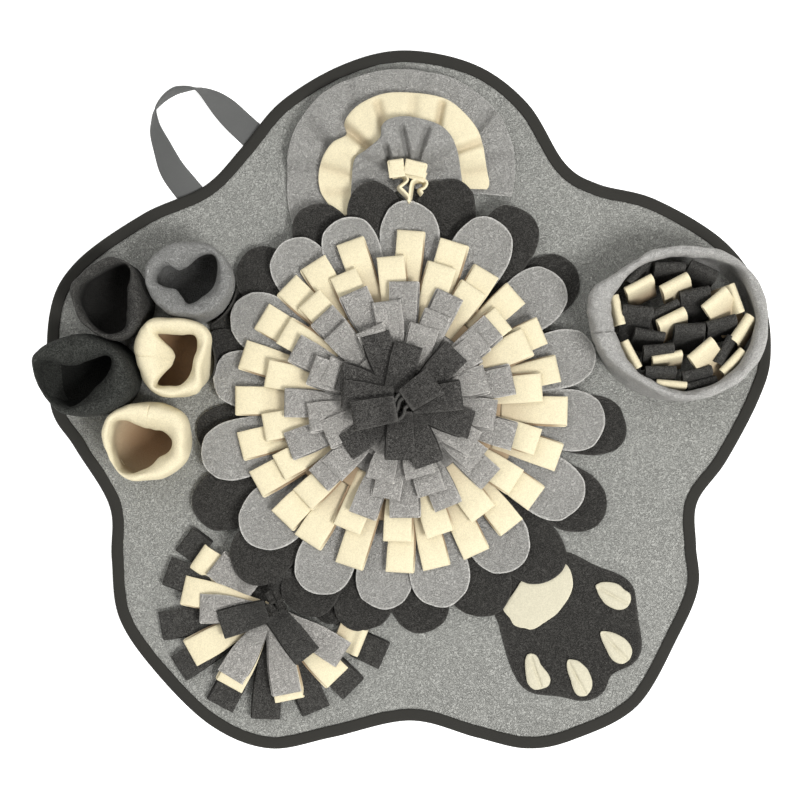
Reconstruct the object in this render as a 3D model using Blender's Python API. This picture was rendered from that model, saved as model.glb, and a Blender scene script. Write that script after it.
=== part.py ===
"""Snuffle mat: a five-lobed fleece mat with a fringe flower, sock pockets, a cup of strips, nested
ruffles, a strip fan and a paw sewn on top, and a carrying strap at its edge.

Every size below is in millimetres, measured from the middle of the flower: +X right, +Y away from the
viewer's feet, +Z up from the floor. The meshes are scaled to metres and moved so that the middle of the
whole object's box is the origin.
"""
import math

import bmesh
import bpy
from mathutils import Vector

MM = 0.001
BOX_CENTRE = (7.25, 0.5)        # middle of the whole object on the cutting plan
FLOWER = (1.8, -1.8)            # middle of the flower on the plan
GAP = 0.3                      # air between two pieces that touch

# The mat: two fleeces quilted together, with a tape folded round the edge.
MAT_TOP = 5.0
TAPE_WIDTH = 11.0
TAPE_THICK = 1.2
TAPE_TOP = MAT_TOP + GAP + TAPE_THICK
EDGE_STEPS = 60
CURVE_PARTS = 12               # short straights between two anchors of an outline
# x, y of the mat's outer edge, clockwise from the top lobe
EDGE = (
    (4, 314), (68, 301), (115, 266), (148, 213), (178, 194), (230, 180), (292, 142), (326, 92),
    (333, 40), (322, 0), (293, -55), (267, -92), (266, -130), (268, -168), (250, -212), (213, -275),
    (156, -305), (114, -313), (68, -303), (9, -288), (-61, -303), (-117, -313), (-169, -293),
    (-218, -246), (-252, -196), (-259, -142), (-261, -95), (-292, -43), (-314, -4), (-315, 76),
    (-292, 123), (-231, 167), (-176, 192), (-142, 227), (-107, 268), (-52, 301),
)

ON_MAT = MAT_TOP + GAP

# The strap: x, y along its middle, and its lean (0 lies flat, 90 stands on edge, inner edge up)
STRAP_WIDTH = 25.0
STRAP_THICK = 1.8
STRAP_PATH = (
    (-191.2, 190.6, 4), (-204.5, 205.9, 20), (-213, 224.9, 42), (-218.8, 239.8, 58), (-220, 250.3, 70),
    (-219.3, 258, 78), (-216.3, 264, 85), (-209.6, 270.9, 90), (-201, 276.4, 90), (-193.8, 278.2, 90),
    (-186.4, 279, 86), (-180.2, 278.5, 77), (-172.3, 274.6, 61), (-164, 268.1, 40), (-155.2, 259.6, 20),
    (-146.8, 251, 10), (-135, 240.2, 3),
)
STRAP_STEPS = 24

# Sock pockets: cloth, foot x, y and radius, rim x, y and half-widths, height,
# direction and depth of the fold that drops into the mouth
POCKETS = (
    ("pocket_1", "dark", -250, 86, 31, -253, 87, 28.5, 34.0, 55, 60, 7),
    ("pocket_2", "light", -181, 101, 33, -183, 103, 38.0, 33.0, 58, 215, 6),
    ("pocket_3", "charcoal", -265, 21, 34, -277.5, 21, 41.0, 33.0, 60, 75, 9),
    ("pocket_4", "cream", -197, 35, 31, -199.5, 36.5, 31.0, 33.0, 58, 180, 9),
    ("pocket_5", "cream", -219, -36, 33, -222, -36.5, 37.0, 33.5, 58, 70, 5),
)
POCKET_WALL = 3.0
POCKET_ROLL = 9.0
POCKET_FOLD_SPREAD = 0.55      # half-width of the fold, in radians
# share of the way from foot to rim, depth below the rim, inset, share of the fold
POCKET_SECTION = (
    (0.7, 18.0, 3.0, 0.1), (1.0, 13.0, 0.3, 0.2), (1.0, 3.0, 1.5, 0.5), (1.0, 0.0, 5.0, 0.9),
    (1.0, 4.0, POCKET_ROLL, 1.0),
)
POCKET_STEPS = 14

# The cup: foot and rim centres, half-widths, height
CUP_FOOT = (245, 65)
CUP_RIM = (246, 66.5)
CUP_HALF = (74, 69)
CUP_HEIGHT = 57.0
# share of the way from foot to rim, height, inset
CUP_SECTION = (
    (0.0, ON_MAT, 3.0), (0.5, 28.0, -3.0), (1.0, CUP_HEIGHT - 9, 0.0), (1.0, CUP_HEIGHT, 6.0),
    (1.0, CUP_HEIGHT - 6, 12.0), (0.5, 26.0, 6.0), (0.0, ON_MAT, 9.0),
)
CUP_STEPS = 20
CUP_ROW_PITCH = 14.0
CUP_ROW_COUNTS = (2, 3, 4, 4, 4, 3, 2)
CUP_STRIP_TOPS = (44, 46, 48, 47, 49, 46, 44)
CUP_STRIP_LEAN = 3.2           # every strip falls this far the same way
CUP_SEAM_TOP = ON_MAT + 3.0
CUP_ROW_SHIFT = 2.0            # rows are staggered by this to either side
STRIP_SPACE = 0.6              # half the air between two strips of a row

# Folded fleece strips of every fringe
STRIP_WIDTH = 26.0
STRIP_THICK = 4.5
STRIP_PITCH = STRIP_THICK + 0.6

# Flower, from the mat up. Levels are the undersides of the petal layers at their sewn ends.
PETAL_THICK = 1.8
PETAL_CREASE = 0.4             # how far the middle of a petal stands up
PETAL_ROOT = 98.0
DARK_LEVELS = (7.3, 10.4)
LIGHT_LEVELS = (13.0, 15.4)
CLIMB_FROM = 149.0             # some petals climb, over ruffles or the paw, between these radii
CLIMB_TO = 196.0
# direction, reach and climb of the dark under-petals
DARK_PETALS = (
    (-152, 208, 0), (-170, 183, 0), (172, 160, 0), (152, 168, 0), (136, 188, 0), (115, 192, 8),
    (98, 196, 14), (77, 204, 14), (57, 201, 14), (38, 205, 0), (17, 163, 0), (-7, 203, 0),
    (-29, 208, 0), (-49, 208, 5), (-68, 207, 0), (-84, 209, 0), (-100, 209, 0), (-116, 208, 0),
    (-132, 208, 0),
)
# direction, reach and climb of the light top petals
LIGHT_PETALS = (
    (87, 178, 17), (61, 181, 17), (36, 179, 0), (15, 175, 0), (-6, 184, 0), (-30, 185, 0),
    (-54, 183, 7), (-77, 188, 0), (-95, 187, 0), (-117, 190, 0), (-140, 190, 0), (-164, 184, 0),
    (172, 168, 0), (151, 168, 0), (127, 176, 10), (108, 171, 17),
)
DARK_WIDTH = 52.0
LIGHT_WIDTH = 50.0
# share of the petal's length, share of its width
PETAL_SHAPE = ((0.0, 0.62), (0.5, 1.0), (0.8, 0.9), (0.95, 0.5))
TIP_SHARE = 0.55               # the tip's width, as a share of the section before it

# Fringe rows, outside in: cloth, strips, seam radius, reach, first direction, length change
FRINGE_ROWS = (
    ("fringe_1", "cream", 24, 85, 146, 86, 3),
    ("fringe_2", "cream", 20, 66, 126, 93, 3),
    ("fringe_3", "grey", 18, 48, 104, 85, 3),
    ("fringe_4", "grey", 14, 30, 81, 95, 3),
    ("fringe_5", "dark", 9, 12, 60, 97, 4),
    ("fringe_6", "dark", 5, 6, 44, 25, 3),
)
FRINGE_LEVEL = 18.4            # underside of the outer row at its tips
FRINGE_DROP = 7.0              # how far the flower's dome falls from its middle to that radius
FRINGE_RIM = 148.0
SEAM_BAND = 4.0

# Ruffles: half-discs gathered round one foot, as cloth, inner and outer radius, side radius,
# crown height, level above the one below, and gathers
RUFFLE_FOOT = (5, 188)
RUFFLES = (
    ("ruffle_outer", "light", 12, 106, 102, 7.0, 0.0, 11),
    ("ruffle_middle", "cream", 14, 87, 78, 7.0, 3.6, 9),
    ("ruffle_inner", "light", 16, 65, 52, 12.0, 7.2, 7),
)
RUFFLE_THICK = 2.4
RUFFLE_SPREAD = ((-4, 196), (-4, 186), (-4, 186))
GATHER_DEPTH = 1.1
RUFFLE_STEPS = 18
RUFFLE_RINGS = (0.0, 0.25, 0.55, 0.82, 1.0)
RUFFLE_RISE = (4.0, 32.0)      # the ruffles puff up between these distances behind their foot
TUFT_WIDTH = 36.0
TUFT_ABOVE = 4.6
TUFT_CURL = 2.0
TUFT_GRID = (4, 6)              # steps down and across
TUFT_LOWEST = 23.5
TUFT_BOTTOM = -7.0
TUFT_TOP = 30.0

# Strip fan: where its seam lies, and its layers from the mat up, as cloth, strips,
# first and last direction, seam radius, reach
FAN_FOOT = (-117, -189)
FAN_LAYERS = (
    ("fan_1", "dark", 9, 138, 337, 13, 95),
    ("fan_2", "cream", 7, 146, 341, 12, 82),
    ("fan_3", "grey", 5, 148, 326, 11, 64),
    ("fan_4", "dark", 2, 197, 305, 9, 50),
)
FAN_LEVEL = 13.0               # underside of the lowest layer at its seam, above the dark petals
# distance from the fan's foot, and how far a strip has drooped there
FAN_DROOP = ((14, 0.0), (42, 0.4), (66, 3.2), (100, 6.4))

# Paw: x, y round the patch, clockwise from its upper left
PAW_THICK = 1.7
PAW_STEPS = 26
PAW_PATCH = (
    (150, -138), (176, -150), (204, -164), (213, -180), (216, -202), (218, -224), (209, -239),
    (190, -248), (180, -266), (163, -272), (119, -264), (102, -240), (91, -208), (84, -194),
)
PAD_THICK = 2.0
PAD_CROWN = 1.6
PAD_CROWN_SHARE = 0.55
# middle x, y, half-length, half-width, direction of the long axis, steps round, pointedness
PAW_PADS = (
    ("paw_pad", 123, -181, 34, 24, 38, 18, 1.0),
    ("paw_toe_1", 193, -177, 17.5, 9.5, -28, 10, 1.35),
    ("paw_toe_2", 195, -223, 17.5, 9.5, -48, 10, 1.35),
    ("paw_toe_3", 162, -250, 18, 9.5, -70, 10, 1.35),
    ("paw_toe_4", 123, -245, 17.5, 9, -74, 10, 1.35),
)

COLOURS = {                    # fleece and webbing, linear
    "grey": (0.30, 0.30, 0.31),
    "light": (0.33, 0.33, 0.33),
    "cream": (0.90, 0.84, 0.62),
    "dark": (0.055, 0.055, 0.055),
    "charcoal": (0.035, 0.037, 0.038),
    "tape": (0.045, 0.045, 0.047),
    "webbing": (0.12, 0.12, 0.12),
}


def cloth(kind):
    """The finish of one cloth, made once and shared by every piece cut from it."""
    material = bpy.data.materials.get(kind)
    if material is None:
        material = bpy.data.materials.new(kind)
        material.use_nodes = True
        shader = material.node_tree.nodes["Principled BSDF"]
        shader.inputs["Base Color"].default_value = (*COLOURS[kind], 1.0)
        shader.inputs["Roughness"].default_value = 0.95
        shader.inputs["Metallic"].default_value = 0.0
    return material


def piece(name, kind, points, faces, thick=0.0, middle=(0.0, 0.0)):
    """One object from points in millimetres round a middle on the plan; thick makes a surface cloth."""
    shift = Vector((*BOX_CENTRE, 0.0)) - Vector((*middle, 0.0))
    shape = bmesh.new()
    corners = [shape.verts.new((Vector(point) - shift) * MM) for point in points]
    for face in faces:
        shape.faces.new([corners[index] for index in face])
    bmesh.ops.recalc_face_normals(shape, faces=shape.faces)
    mesh = bpy.data.meshes.new(name)
    shape.to_mesh(mesh)
    shape.free()
    mesh.shade_smooth()
    mesh.set_sharp_from_angle(angle=math.radians(40))
    mesh.materials.append(cloth(kind))
    obj = bpy.data.objects.new(name, mesh)
    bpy.context.collection.objects.link(obj)
    if thick:
        solid = obj.modifiers.new("thickness", "SOLIDIFY")
        solid.thickness = thick * MM
        solid.offset = 0.0
        solid.use_even_offset = True
    return obj


def mix(low, high, share):
    return low + (high - low) * share


def smooth(low, high, value):
    """0 below low, 1 above high, and an S between."""
    share = min(max((value - low) / (high - low), 0.0), 1.0)
    return share * share * (3.0 - 2.0 * share)


def heading(degrees):
    angle = math.radians(degrees)
    return Vector((math.cos(angle), math.sin(angle), 0.0))


def curve_point(before, start, end, after, share):
    """A point between start and end on the smooth curve through all four."""
    return 0.5 * (2 * start + (end - before) * share
                  + (2 * before - 5 * start + 4 * end - after) * share ** 2
                  + (3 * start - before - 3 * end + after) * share ** 3)


def closed_curve(anchors, steps):
    """Evenly spaced points on a smooth closed curve through the anchors."""
    anchors = [Vector((*anchor, 0.0)) for anchor in anchors]
    count = len(anchors)
    fine = []
    for index in range(count):
        around = [anchors[(index + k) % count] for k in (-1, 0, 1, 2)]
        fine.extend(curve_point(*around, part / CURVE_PARTS) for part in range(CURVE_PARTS))
    fine.append(fine[0])
    lengths = [0.0]
    for start, end in zip(fine, fine[1:]):
        lengths.append(lengths[-1] + (end - start).length)
    points = []
    index = 0
    for step in range(steps):
        target = lengths[-1] * step / steps
        while lengths[index + 1] < target:
            index += 1
        share = (target - lengths[index]) / (lengths[index + 1] - lengths[index])
        points.append(fine[index].lerp(fine[index + 1], share))
    return points


def outward(loop):
    """Unit outward directions along a clockwise loop."""
    count = len(loop)
    along = [(loop[(i + 1) % count] - loop[i - 1]).normalized() for i in range(count)]
    return [Vector((-way.y, way.x, 0.0)) for way in along]


def offset_loop(loop, inset, height):
    """The loop moved inwards and set at a height."""
    return [point - way * inset + Vector((0, 0, height)) for point, way in zip(loop, outward(loop))]


def skin(loops, ring=False):
    """Points and faces over equal closed loops: a ring joins the last to the first, else both are capped."""
    count = len(loops[0])
    points = [point for loop in loops for point in loop]
    faces = []
    for row in range(len(loops) if ring else len(loops) - 1):
        low = row * count
        high = (row + 1) % len(loops) * count
        for i in range(count):
            j = (i + 1) % count
            faces.append((low + i, low + j, high + j, high + i))
    if not ring:
        faces.append(tuple(range(count)))
        faces.append(tuple(range(len(points) - count, len(points))))
    return points, faces


def grid(rows):
    """Points and faces of an open sheet given as rows of points."""
    across = len(rows[0])
    points = [point for row in rows for point in row]
    faces = []
    for row in range(len(rows) - 1):
        for i in range(across - 1):
            low = row * across + i
            faces.append((low, low + 1, low + 1 + across, low + across))
    return points, faces


def comb(seams, teeth, closed):
    """One body: a sewn band with teeth.

    seams bound the teeth along the band; each has four corners, crown, throat, toe and heel. A tooth
    springs from the crown and throat of its two seams, and is a list of sections of four corners, top left,
    top right, bottom right and bottom left.
    """
    points = [corner for seam in seams for corner in seam]
    faces = []
    for index, tooth in enumerate(teeth):
        left = index * 4
        right = (index + 1) % len(seams) * 4
        faces.append((left, left + 3, right + 3, right))
        faces.append((left + 3, left + 2, right + 2, right + 3))
        faces.append((left + 2, left + 1, right + 1, right + 2))
        before = (left, right, right + 1, left + 1)
        for section in tooth:
            start = len(points)
            points.extend(section)
            after = (start, start + 1, start + 2, start + 3)
            for k in range(4):
                m = (k + 1) % 4
                faces.append((before[k], before[m], after[m], after[k]))
            before = after
        faces.append(before)
    if not closed:
        last = (len(seams) - 1) * 4
        faces.append((0, 1, 2, 3))
        faces.append((last, last + 1, last + 2, last + 3))
    return points, faces


def mat_panel(edge):
    tongue = TAPE_THICK + GAP
    loops = [
        offset_loop(edge, TAPE_WIDTH + GAP, 0.0),
        offset_loop(edge, TAPE_WIDTH + GAP, tongue),
        offset_loop(edge, tongue, tongue),
        offset_loop(edge, tongue, MAT_TOP),
    ]
    piece("mat_panel", "grey", *skin(loops))


def edge_binding(edge):
    """Tape folded round the mat's tongue: inset from the edge and height of each corner of its section."""
    section = (
        (TAPE_WIDTH, 0.0), (1.2, 0.0), (0.0, 1.4), (0.0, TAPE_TOP - 1.4), (1.2, TAPE_TOP),
        (TAPE_WIDTH, TAPE_TOP), (TAPE_WIDTH, MAT_TOP + GAP), (TAPE_THICK, MAT_TOP + GAP),
        (TAPE_THICK, TAPE_THICK), (TAPE_WIDTH, TAPE_THICK),
    )
    piece("edge_binding", "tape", *skin([offset_loop(edge, *corner) for corner in section], ring=True))


def handle_strap():
    """Webbing that leaves the edge flat, turns up on edge for its top bend, and lies down again."""
    anchors = [Vector(anchor) for anchor in STRAP_PATH]
    last = len(anchors) - 1
    path = []
    for step in range(STRAP_STEPS + 1):
        index = min(int(step / STRAP_STEPS * last), last - 1)
        around = [anchors[min(max(index + k, 0), last)] for k in (-1, 0, 1, 2)]
        path.append(curve_point(*around, step / STRAP_STEPS * last - index))
    rows = []
    for step, point in enumerate(path):
        way = path[min(step + 1, STRAP_STEPS)] - path[max(step - 1, 0)]
        lean = math.radians(min(max(point.z, 0.0), 90.0))
        inner = Vector((way.y, -way.x, 0.0)).normalized()
        width = (inner * math.cos(lean) + Vector((0, 0, math.sin(lean)))) * STRAP_WIDTH / 2
        middle = Vector((point.x, point.y, width.z + STRAP_THICK / 2 + GAP))
        rows.append([middle + width, middle, middle - width])
    piece("handle_strap", "webbing", *grid(rows), thick=STRAP_THICK)


def sock_pocket(name, kind, foot_x, foot_y, foot_radius, rim_x, rim_y, half_x, half_y, top, fold, depth):
    """A tube of fleece sewn round its foot, its rim rolled out and pinched into the mouth on one side."""
    foot = Vector((foot_x, foot_y, 0.0))
    rim = Vector((rim_x, rim_y, 0.0))
    section = [(0.0, ON_MAT, 0.0, 0.0)]
    section.extend((share, top - below, inset, folded) for share, below, inset, folded in POCKET_SECTION)
    section.append((0.0, ON_MAT, POCKET_WALL, 0.0))
    loops = []
    for share, height, inset, folded in section:
        loop = []
        for step in range(POCKET_STEPS):
            angle = 2 * math.pi * step / POCKET_STEPS
            way = Vector((mix(foot_radius, half_x, share) * math.cos(angle),
                          mix(foot_radius, half_y, share) * math.sin(angle), 0.0))
            off = (angle - math.radians(fold) + math.pi) % (2 * math.pi) - math.pi
            pinch = depth * folded * math.exp(-(off / POCKET_FOLD_SPREAD) ** 2)
            reach = way.length - inset - pinch
            loop.append(foot.lerp(rim, share) + way.normalized() * reach + Vector((0, 0, height)))
        loops.append(loop)
    piece(name, kind, *skin(loops, ring=True))


def cup():
    """A stout fleece tube that bellies a little below its rolled rim."""
    loops = []
    for share, height, inset in CUP_SECTION:
        centre = Vector((mix(CUP_FOOT[0], CUP_RIM[0], share), mix(CUP_FOOT[1], CUP_RIM[1], share), height))
        loop = []
        for step in range(CUP_STEPS):
            angle = 2 * math.pi * step / CUP_STEPS
            way = Vector((CUP_HALF[0] * math.cos(angle), CUP_HALF[1] * math.sin(angle), 0.0))
            loop.append(centre + way.normalized() * (way.length - inset))
        loops.append(loop)
    piece("cup", "light", *skin(loops, ring=True))


def cup_strip_row(number, strips, top):
    """Folded strips standing side by side in the cup on one seam, all leaning a little."""
    row = number - (len(CUP_ROW_COUNTS) - 1) / 2
    stagger = CUP_ROW_SHIFT if number % 2 else -CUP_ROW_SHIFT
    middle = Vector((CUP_FOOT[0] + stagger, CUP_FOOT[1] + row * CUP_ROW_PITCH, 0.0))
    edges = [(index - strips / 2) * (STRIP_WIDTH + 2 * STRIP_SPACE) for index in range(strips + 1)]
    half = STRIP_THICK / 2
    seams = []
    for x in edges:
        corners = ((half, CUP_SEAM_TOP), (-half, CUP_SEAM_TOP), (-half, ON_MAT), (half, ON_MAT))
        seams.append([middle + Vector((x, y, z)) for y, z in corners])
    teeth = []
    for index in range(strips):
        left = edges[index] + STRIP_SPACE
        right = edges[index + 1] - STRIP_SPACE
        tooth = []
        for share in (0.5, 1.0):
            y = CUP_STRIP_LEAN * share ** 2
            z = mix(ON_MAT, top, share)
            corners = ((left, y + half), (right, y + half), (right, y - half), (left, y - half))
            tooth.append([middle + Vector((*corner, z)) for corner in corners])
        teeth.append(tooth)
    piece(f"cup_strips_{number + 1}", ("dark", "cream")[number % 2], *comb(seams, teeth, closed=False))


def ruffle_height(index, x, y, turned_down=0.0):
    """Height of a ruffle's cloth at a place measured from the foot; turned_down is 1 along its outer edge."""
    share = min(math.hypot(x, y) / RUFFLES[0][3], 1.0) * 0.92
    puff = smooth(*RUFFLE_RISE, y) * math.sin(math.pi * share) ** 0.8
    crowns = [columns[5] for columns in RUFFLES[:index + 1]]
    crowns[-1] *= 1.0 - turned_down
    return ON_MAT + RUFFLE_THICK / 2 + GAP + RUFFLES[index][6] + sum(crowns) * puff


def ruffle(index):
    """Half a disc of fleece gathered at the foot and puffed up, its edge scalloped by the gathers."""
    name, kind, inner, outer, side, crown, above, gathers = RUFFLES[index]
    rows = []
    for ring in RUFFLE_RINGS:
        row = []
        for step in range(RUFFLE_STEPS + 1):
            turn = mix(*RUFFLE_SPREAD[index], step / RUFFLE_STEPS)
            swing = math.sin(math.radians(turn))
            radius = mix(inner, mix(side, outer, max(swing, 0.0)), ring)
            radius += GATHER_DEPTH * ring * math.sin(math.radians(turn) * gathers * 2)
            place = heading(turn) * radius
            height = ruffle_height(index, place.x, place.y, smooth(0.6, 1.0, ring))
            row.append(place + Vector((*RUFFLE_FOOT, height)))
        rows.append(row)
    piece(name, kind, *grid(rows), thick=RUFFLE_THICK)


def ruffle_tuft():
    """A gathered end of cream fleece that lies on the puff and spreads in curls towards the flower."""
    rows = []
    for down in range(TUFT_GRID[0] + 1):
        share = down / TUFT_GRID[0]
        y = mix(TUFT_TOP, TUFT_BOTTOM, share)
        row = []
        for across in range(TUFT_GRID[1] + 1):
            x = TUFT_WIDTH * (across / TUFT_GRID[1] - 0.5) * mix(0.9, 1.0, share)
            curl = TUFT_CURL * mix(0.5, 1.0, share) * (1 + math.cos(across * math.pi))
            rise = max(ruffle_height(2, x, y), TUFT_LOWEST) + TUFT_ABOVE + curl
            row.append(Vector((RUFFLE_FOOT[0] + x, RUFFLE_FOOT[1] + y, rise)))
        rows.append(row)
    piece("ruffle_tuft", "cream", *grid(rows), thick=2.0)


def paw_patch():
    patch = closed_curve(PAW_PATCH, PAW_STEPS)
    piece("paw_patch", "dark", *skin([[point + Vector((0, 0, height)) for point in patch]
                                      for height in (ON_MAT, ON_MAT + PAW_THICK)]))


def paw_pad(name, x, y, half_long, half_wide, turn, steps, point):
    """A pad cut with its ends drawn to a point, its middle a little raised."""
    base = ON_MAT + PAW_THICK + GAP
    loops = []
    for scale, height in ((1.0, base), (1.0, base + PAD_THICK), (PAD_CROWN_SHARE, base + PAD_THICK + PAD_CROWN)):
        loop = []
        for step in range(steps):
            angle = 2 * math.pi * step / steps
            across = math.copysign(abs(math.sin(angle)) ** point, math.sin(angle))
            along = heading(turn) * half_long * math.cos(angle) * scale
            side = heading(turn + 90) * half_wide * across * scale
            loop.append(Vector((x, y, height)) + along + side)
        loops.append(loop)
    piece(name, "cream", *skin(loops))


def petal_half_width(width, share):
    """Half the petal's width at a share of its length."""
    for (from_share, from_width), (to_share, to_width) in zip(PETAL_SHAPE, PETAL_SHAPE[1:]):
        if share <= to_share:
            return width / 2 * mix(from_width, to_width, (share - from_share) / (to_share - from_share))
    return width / 2 * PETAL_SHAPE[-1][1]


def petal_sections(direction, root, reach, width, climb):
    """Left, middle and right of each section of a petal from its root out, with their climb as height."""
    length = reach - root
    shares = {share for share, _ in PETAL_SHAPE} | {1.0}
    if climb:
        shares.add((CLIMB_FROM - root) / length)
    for share in sorted(shares):
        half = petal_half_width(width, share) * (TIP_SHARE if share == 1.0 else 1.0)
        section = []
        for across in (1, 0, -1):
            point = heading(direction) * (root + length * share) + heading(direction + 90) * half * across
            steep = min(max((point.length - CLIMB_FROM) / (CLIMB_TO - CLIMB_FROM), 0.0), 1.0)
            section.append(point + Vector((0, 0, climb * steep)))
        yield section


def petal_light(number, direction, reach, climb):
    """One rounded petal, sewn at its root, with a soft ridge down its middle."""
    level = Vector((0, 0, LIGHT_LEVELS[number % 2] + PETAL_THICK / 2))
    ridge = Vector((0, 0, PETAL_CREASE))
    rows = []
    for left, middle, right in petal_sections(direction, PETAL_ROOT, reach, LIGHT_WIDTH, climb):
        rows.append([left + level, middle + level + ridge, right + level])
    piece(f"petal_light_{number + 1:02d}", "light", *grid(rows), thick=PETAL_THICK, middle=FLOWER)


def dark_petal_ring(name, level, petals):
    """Under-petals on one sewn ring, which keeps its width between them."""
    count = len(petals)
    root = PETAL_ROOT + SEAM_BAND
    seams = []
    for index in range(count):
        before, after = petals[index - 1][0], petals[index][0]
        angle = after + (before - after) % 360 / 2
        out = heading(angle)
        seams.append([out * root + Vector((0, 0, level + PETAL_THICK)), out * root + Vector((0, 0, level)),
                      out * PETAL_ROOT + Vector((0, 0, level)),
                      out * PETAL_ROOT + Vector((0, 0, level + PETAL_THICK))])
    low = Vector((0, 0, level))
    high = Vector((0, 0, level + PETAL_THICK))
    teeth = []
    for direction, reach, climb in petals:
        sections = list(petal_sections(direction, root, reach, DARK_WIDTH, climb))[1:]
        teeth.append([[left + high, right + high, right + low, left + low] for left, middle, right in sections])
    piece(name, "dark", *comb(seams, teeth, closed=True), middle=FLOWER)


def dome(radius):
    """How far the flower's dome has fallen at a radius."""
    return FRINGE_DROP * (1.0 - (radius / FRINGE_RIM) ** 2)


def fringe_row(row, name, kind, strips, seam, reach, first, change):
    """A ring of folded strips that stands on its seam and falls outwards over the row outside it."""
    level = FRINGE_LEVEL + STRIP_PITCH * row
    spacing = 360 / strips
    seams = []
    for index in range(strips):
        out = heading(first - spacing * (index - 0.5))
        throat = seam + SEAM_BAND
        seams.append([out * seam + Vector((0, 0, level + dome(seam) + STRIP_THICK)),
                      out * throat + Vector((0, 0, level + dome(throat))),
                      out * throat + Vector((0, 0, ON_MAT)), out * seam + Vector((0, 0, ON_MAT))])
    teeth = []
    for index in range(strips):
        direction = first - spacing * index + 2.0 * math.sin(index * 2.3 + row)
        tip = reach + change * math.sin(index * 1.7 + row * 2)
        out = heading(direction)
        side = heading(direction + 90)
        tooth = []
        for share in (0.5, 1.0):
            radius = mix(seam + SEAM_BAND, tip, share)
            room = radius * math.tan(math.radians(spacing / 2 - 2.2)) - GAP
            half = min(STRIP_WIDTH / 2, room)
            low = Vector((0, 0, level + dome(radius)))
            high = low + Vector((0, 0, STRIP_THICK))
            tooth.append([out * radius + side * half + high, out * radius - side * half + high,
                          out * radius - side * half + low, out * radius + side * half + low])
        teeth.append(tooth)
    piece(name, kind, *comb(seams, teeth, closed=True), middle=FLOWER)


def fan_droop(radius):
    for (near, high), (far, low) in zip(FAN_DROOP, FAN_DROOP[1:]):
        if radius <= far:
            return mix(high, low, max(radius - near, 0.0) / (far - near))
    return FAN_DROOP[-1][1]


def fan_layer(layer, name, kind, strips, first, last, seam, reach):
    """Strips that spread from one short seam and droop to the mat."""
    foot = Vector((*FAN_FOOT, 0.0))
    level = FAN_LEVEL + STRIP_PITCH * layer
    spacing = (last - first) / (strips - 1)
    half_space = min(spacing / 2, 40)
    seams = []
    for index in range(strips + 1):
        if index == 0:
            angle = first - half_space
        elif index == strips:
            angle = last + half_space
        else:
            angle = first + spacing * (index - 0.5)
        out = heading(angle)
        seams.append([foot + out * (seam + 3) + Vector((0, 0, level + STRIP_THICK)),
                      foot + out * (seam + 3) + Vector((0, 0, level)),
                      foot + out * seam + Vector((0, 0, level)),
                      foot + out * seam + Vector((0, 0, level + STRIP_THICK))])
    teeth = []
    for index in range(strips):
        out = heading(first + spacing * index)
        side = heading(first + spacing * index - 90)
        tip = reach + 4 * math.sin(index * 2.1 + layer)
        tooth = []
        for radius in (*(knot for knot, _ in FAN_DROOP[1:] if knot < tip - 4), tip):
            room = radius * math.tan(math.radians(half_space)) - GAP
            half = min(STRIP_WIDTH / 2, room)
            low = Vector((0, 0, level - fan_droop(radius)))
            high = low + Vector((0, 0, STRIP_THICK))
            centre = foot + out * radius
            tooth.append([centre + side * half + high, centre - side * half + high,
                          centre - side * half + low, centre + side * half + low])
        teeth.append(tooth)
    piece(name, kind, *comb(seams, teeth, closed=False))


for old in list(bpy.data.objects):
    bpy.data.objects.remove(old)

mat_edge = closed_curve(EDGE, EDGE_STEPS)
mat_panel(mat_edge)
edge_binding(mat_edge)
handle_strap()
for pocket in POCKETS:
    sock_pocket(*pocket)
cup()
for number, (strips, top) in enumerate(zip(CUP_ROW_COUNTS, CUP_STRIP_TOPS)):
    cup_strip_row(number, strips, top)
for index in range(len(RUFFLES)):
    ruffle(index)
ruffle_tuft()
paw_patch()
for pad in PAW_PADS:
    paw_pad(*pad)
dark_petal_ring("petals_dark_low", DARK_LEVELS[0], DARK_PETALS[1::2])
dark_petal_ring("petals_dark_high", DARK_LEVELS[1], DARK_PETALS[0::2])
for number, petal in enumerate(LIGHT_PETALS):
    petal_light(number, *petal)
for row, fringe in enumerate(FRINGE_ROWS):
    fringe_row(row, *fringe)
for layer, fan in enumerate(FAN_LAYERS):
    fan_layer(layer, *fan)
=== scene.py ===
import math
import random

import bmesh
import bpy
import numpy as np
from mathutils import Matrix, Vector, noise


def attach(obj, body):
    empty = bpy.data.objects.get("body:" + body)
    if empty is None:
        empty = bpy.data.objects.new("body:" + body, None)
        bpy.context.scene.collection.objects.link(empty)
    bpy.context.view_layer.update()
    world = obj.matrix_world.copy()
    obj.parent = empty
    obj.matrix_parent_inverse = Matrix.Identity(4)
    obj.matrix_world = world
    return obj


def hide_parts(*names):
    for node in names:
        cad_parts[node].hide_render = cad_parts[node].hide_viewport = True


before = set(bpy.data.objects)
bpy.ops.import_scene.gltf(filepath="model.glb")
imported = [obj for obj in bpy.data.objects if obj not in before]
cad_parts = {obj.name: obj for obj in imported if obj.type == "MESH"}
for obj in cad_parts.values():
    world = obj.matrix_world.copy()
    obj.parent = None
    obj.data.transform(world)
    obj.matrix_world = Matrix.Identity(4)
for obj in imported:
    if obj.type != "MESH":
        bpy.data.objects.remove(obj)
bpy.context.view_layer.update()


# Camera, floor and lights. Sizes are in millimetres on the mat's cutting plan, whose middle is the
# middle of the photograph; the camera hangs over it and looks straight down, the ruffle lobe on top.
MM = 0.001
PLAN_MIDDLE = Vector((7.25, 0.5, 0.0))     # middle of the object's box, on the plan
CAMERA_HEIGHT = 1600
VIEW_WIDTH = 720                           # of the floor, across the whole picture
FLOOR_SIZE = 7000
FLOOR_DROP = 0.3                           # keeps it clear of the mat's underside
FLOOR_COLOUR = (0.90, 0.90, 0.89)
FLOOR_GLOW = 0.7                           # a light table: it stays white under the mat's shadow
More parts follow.
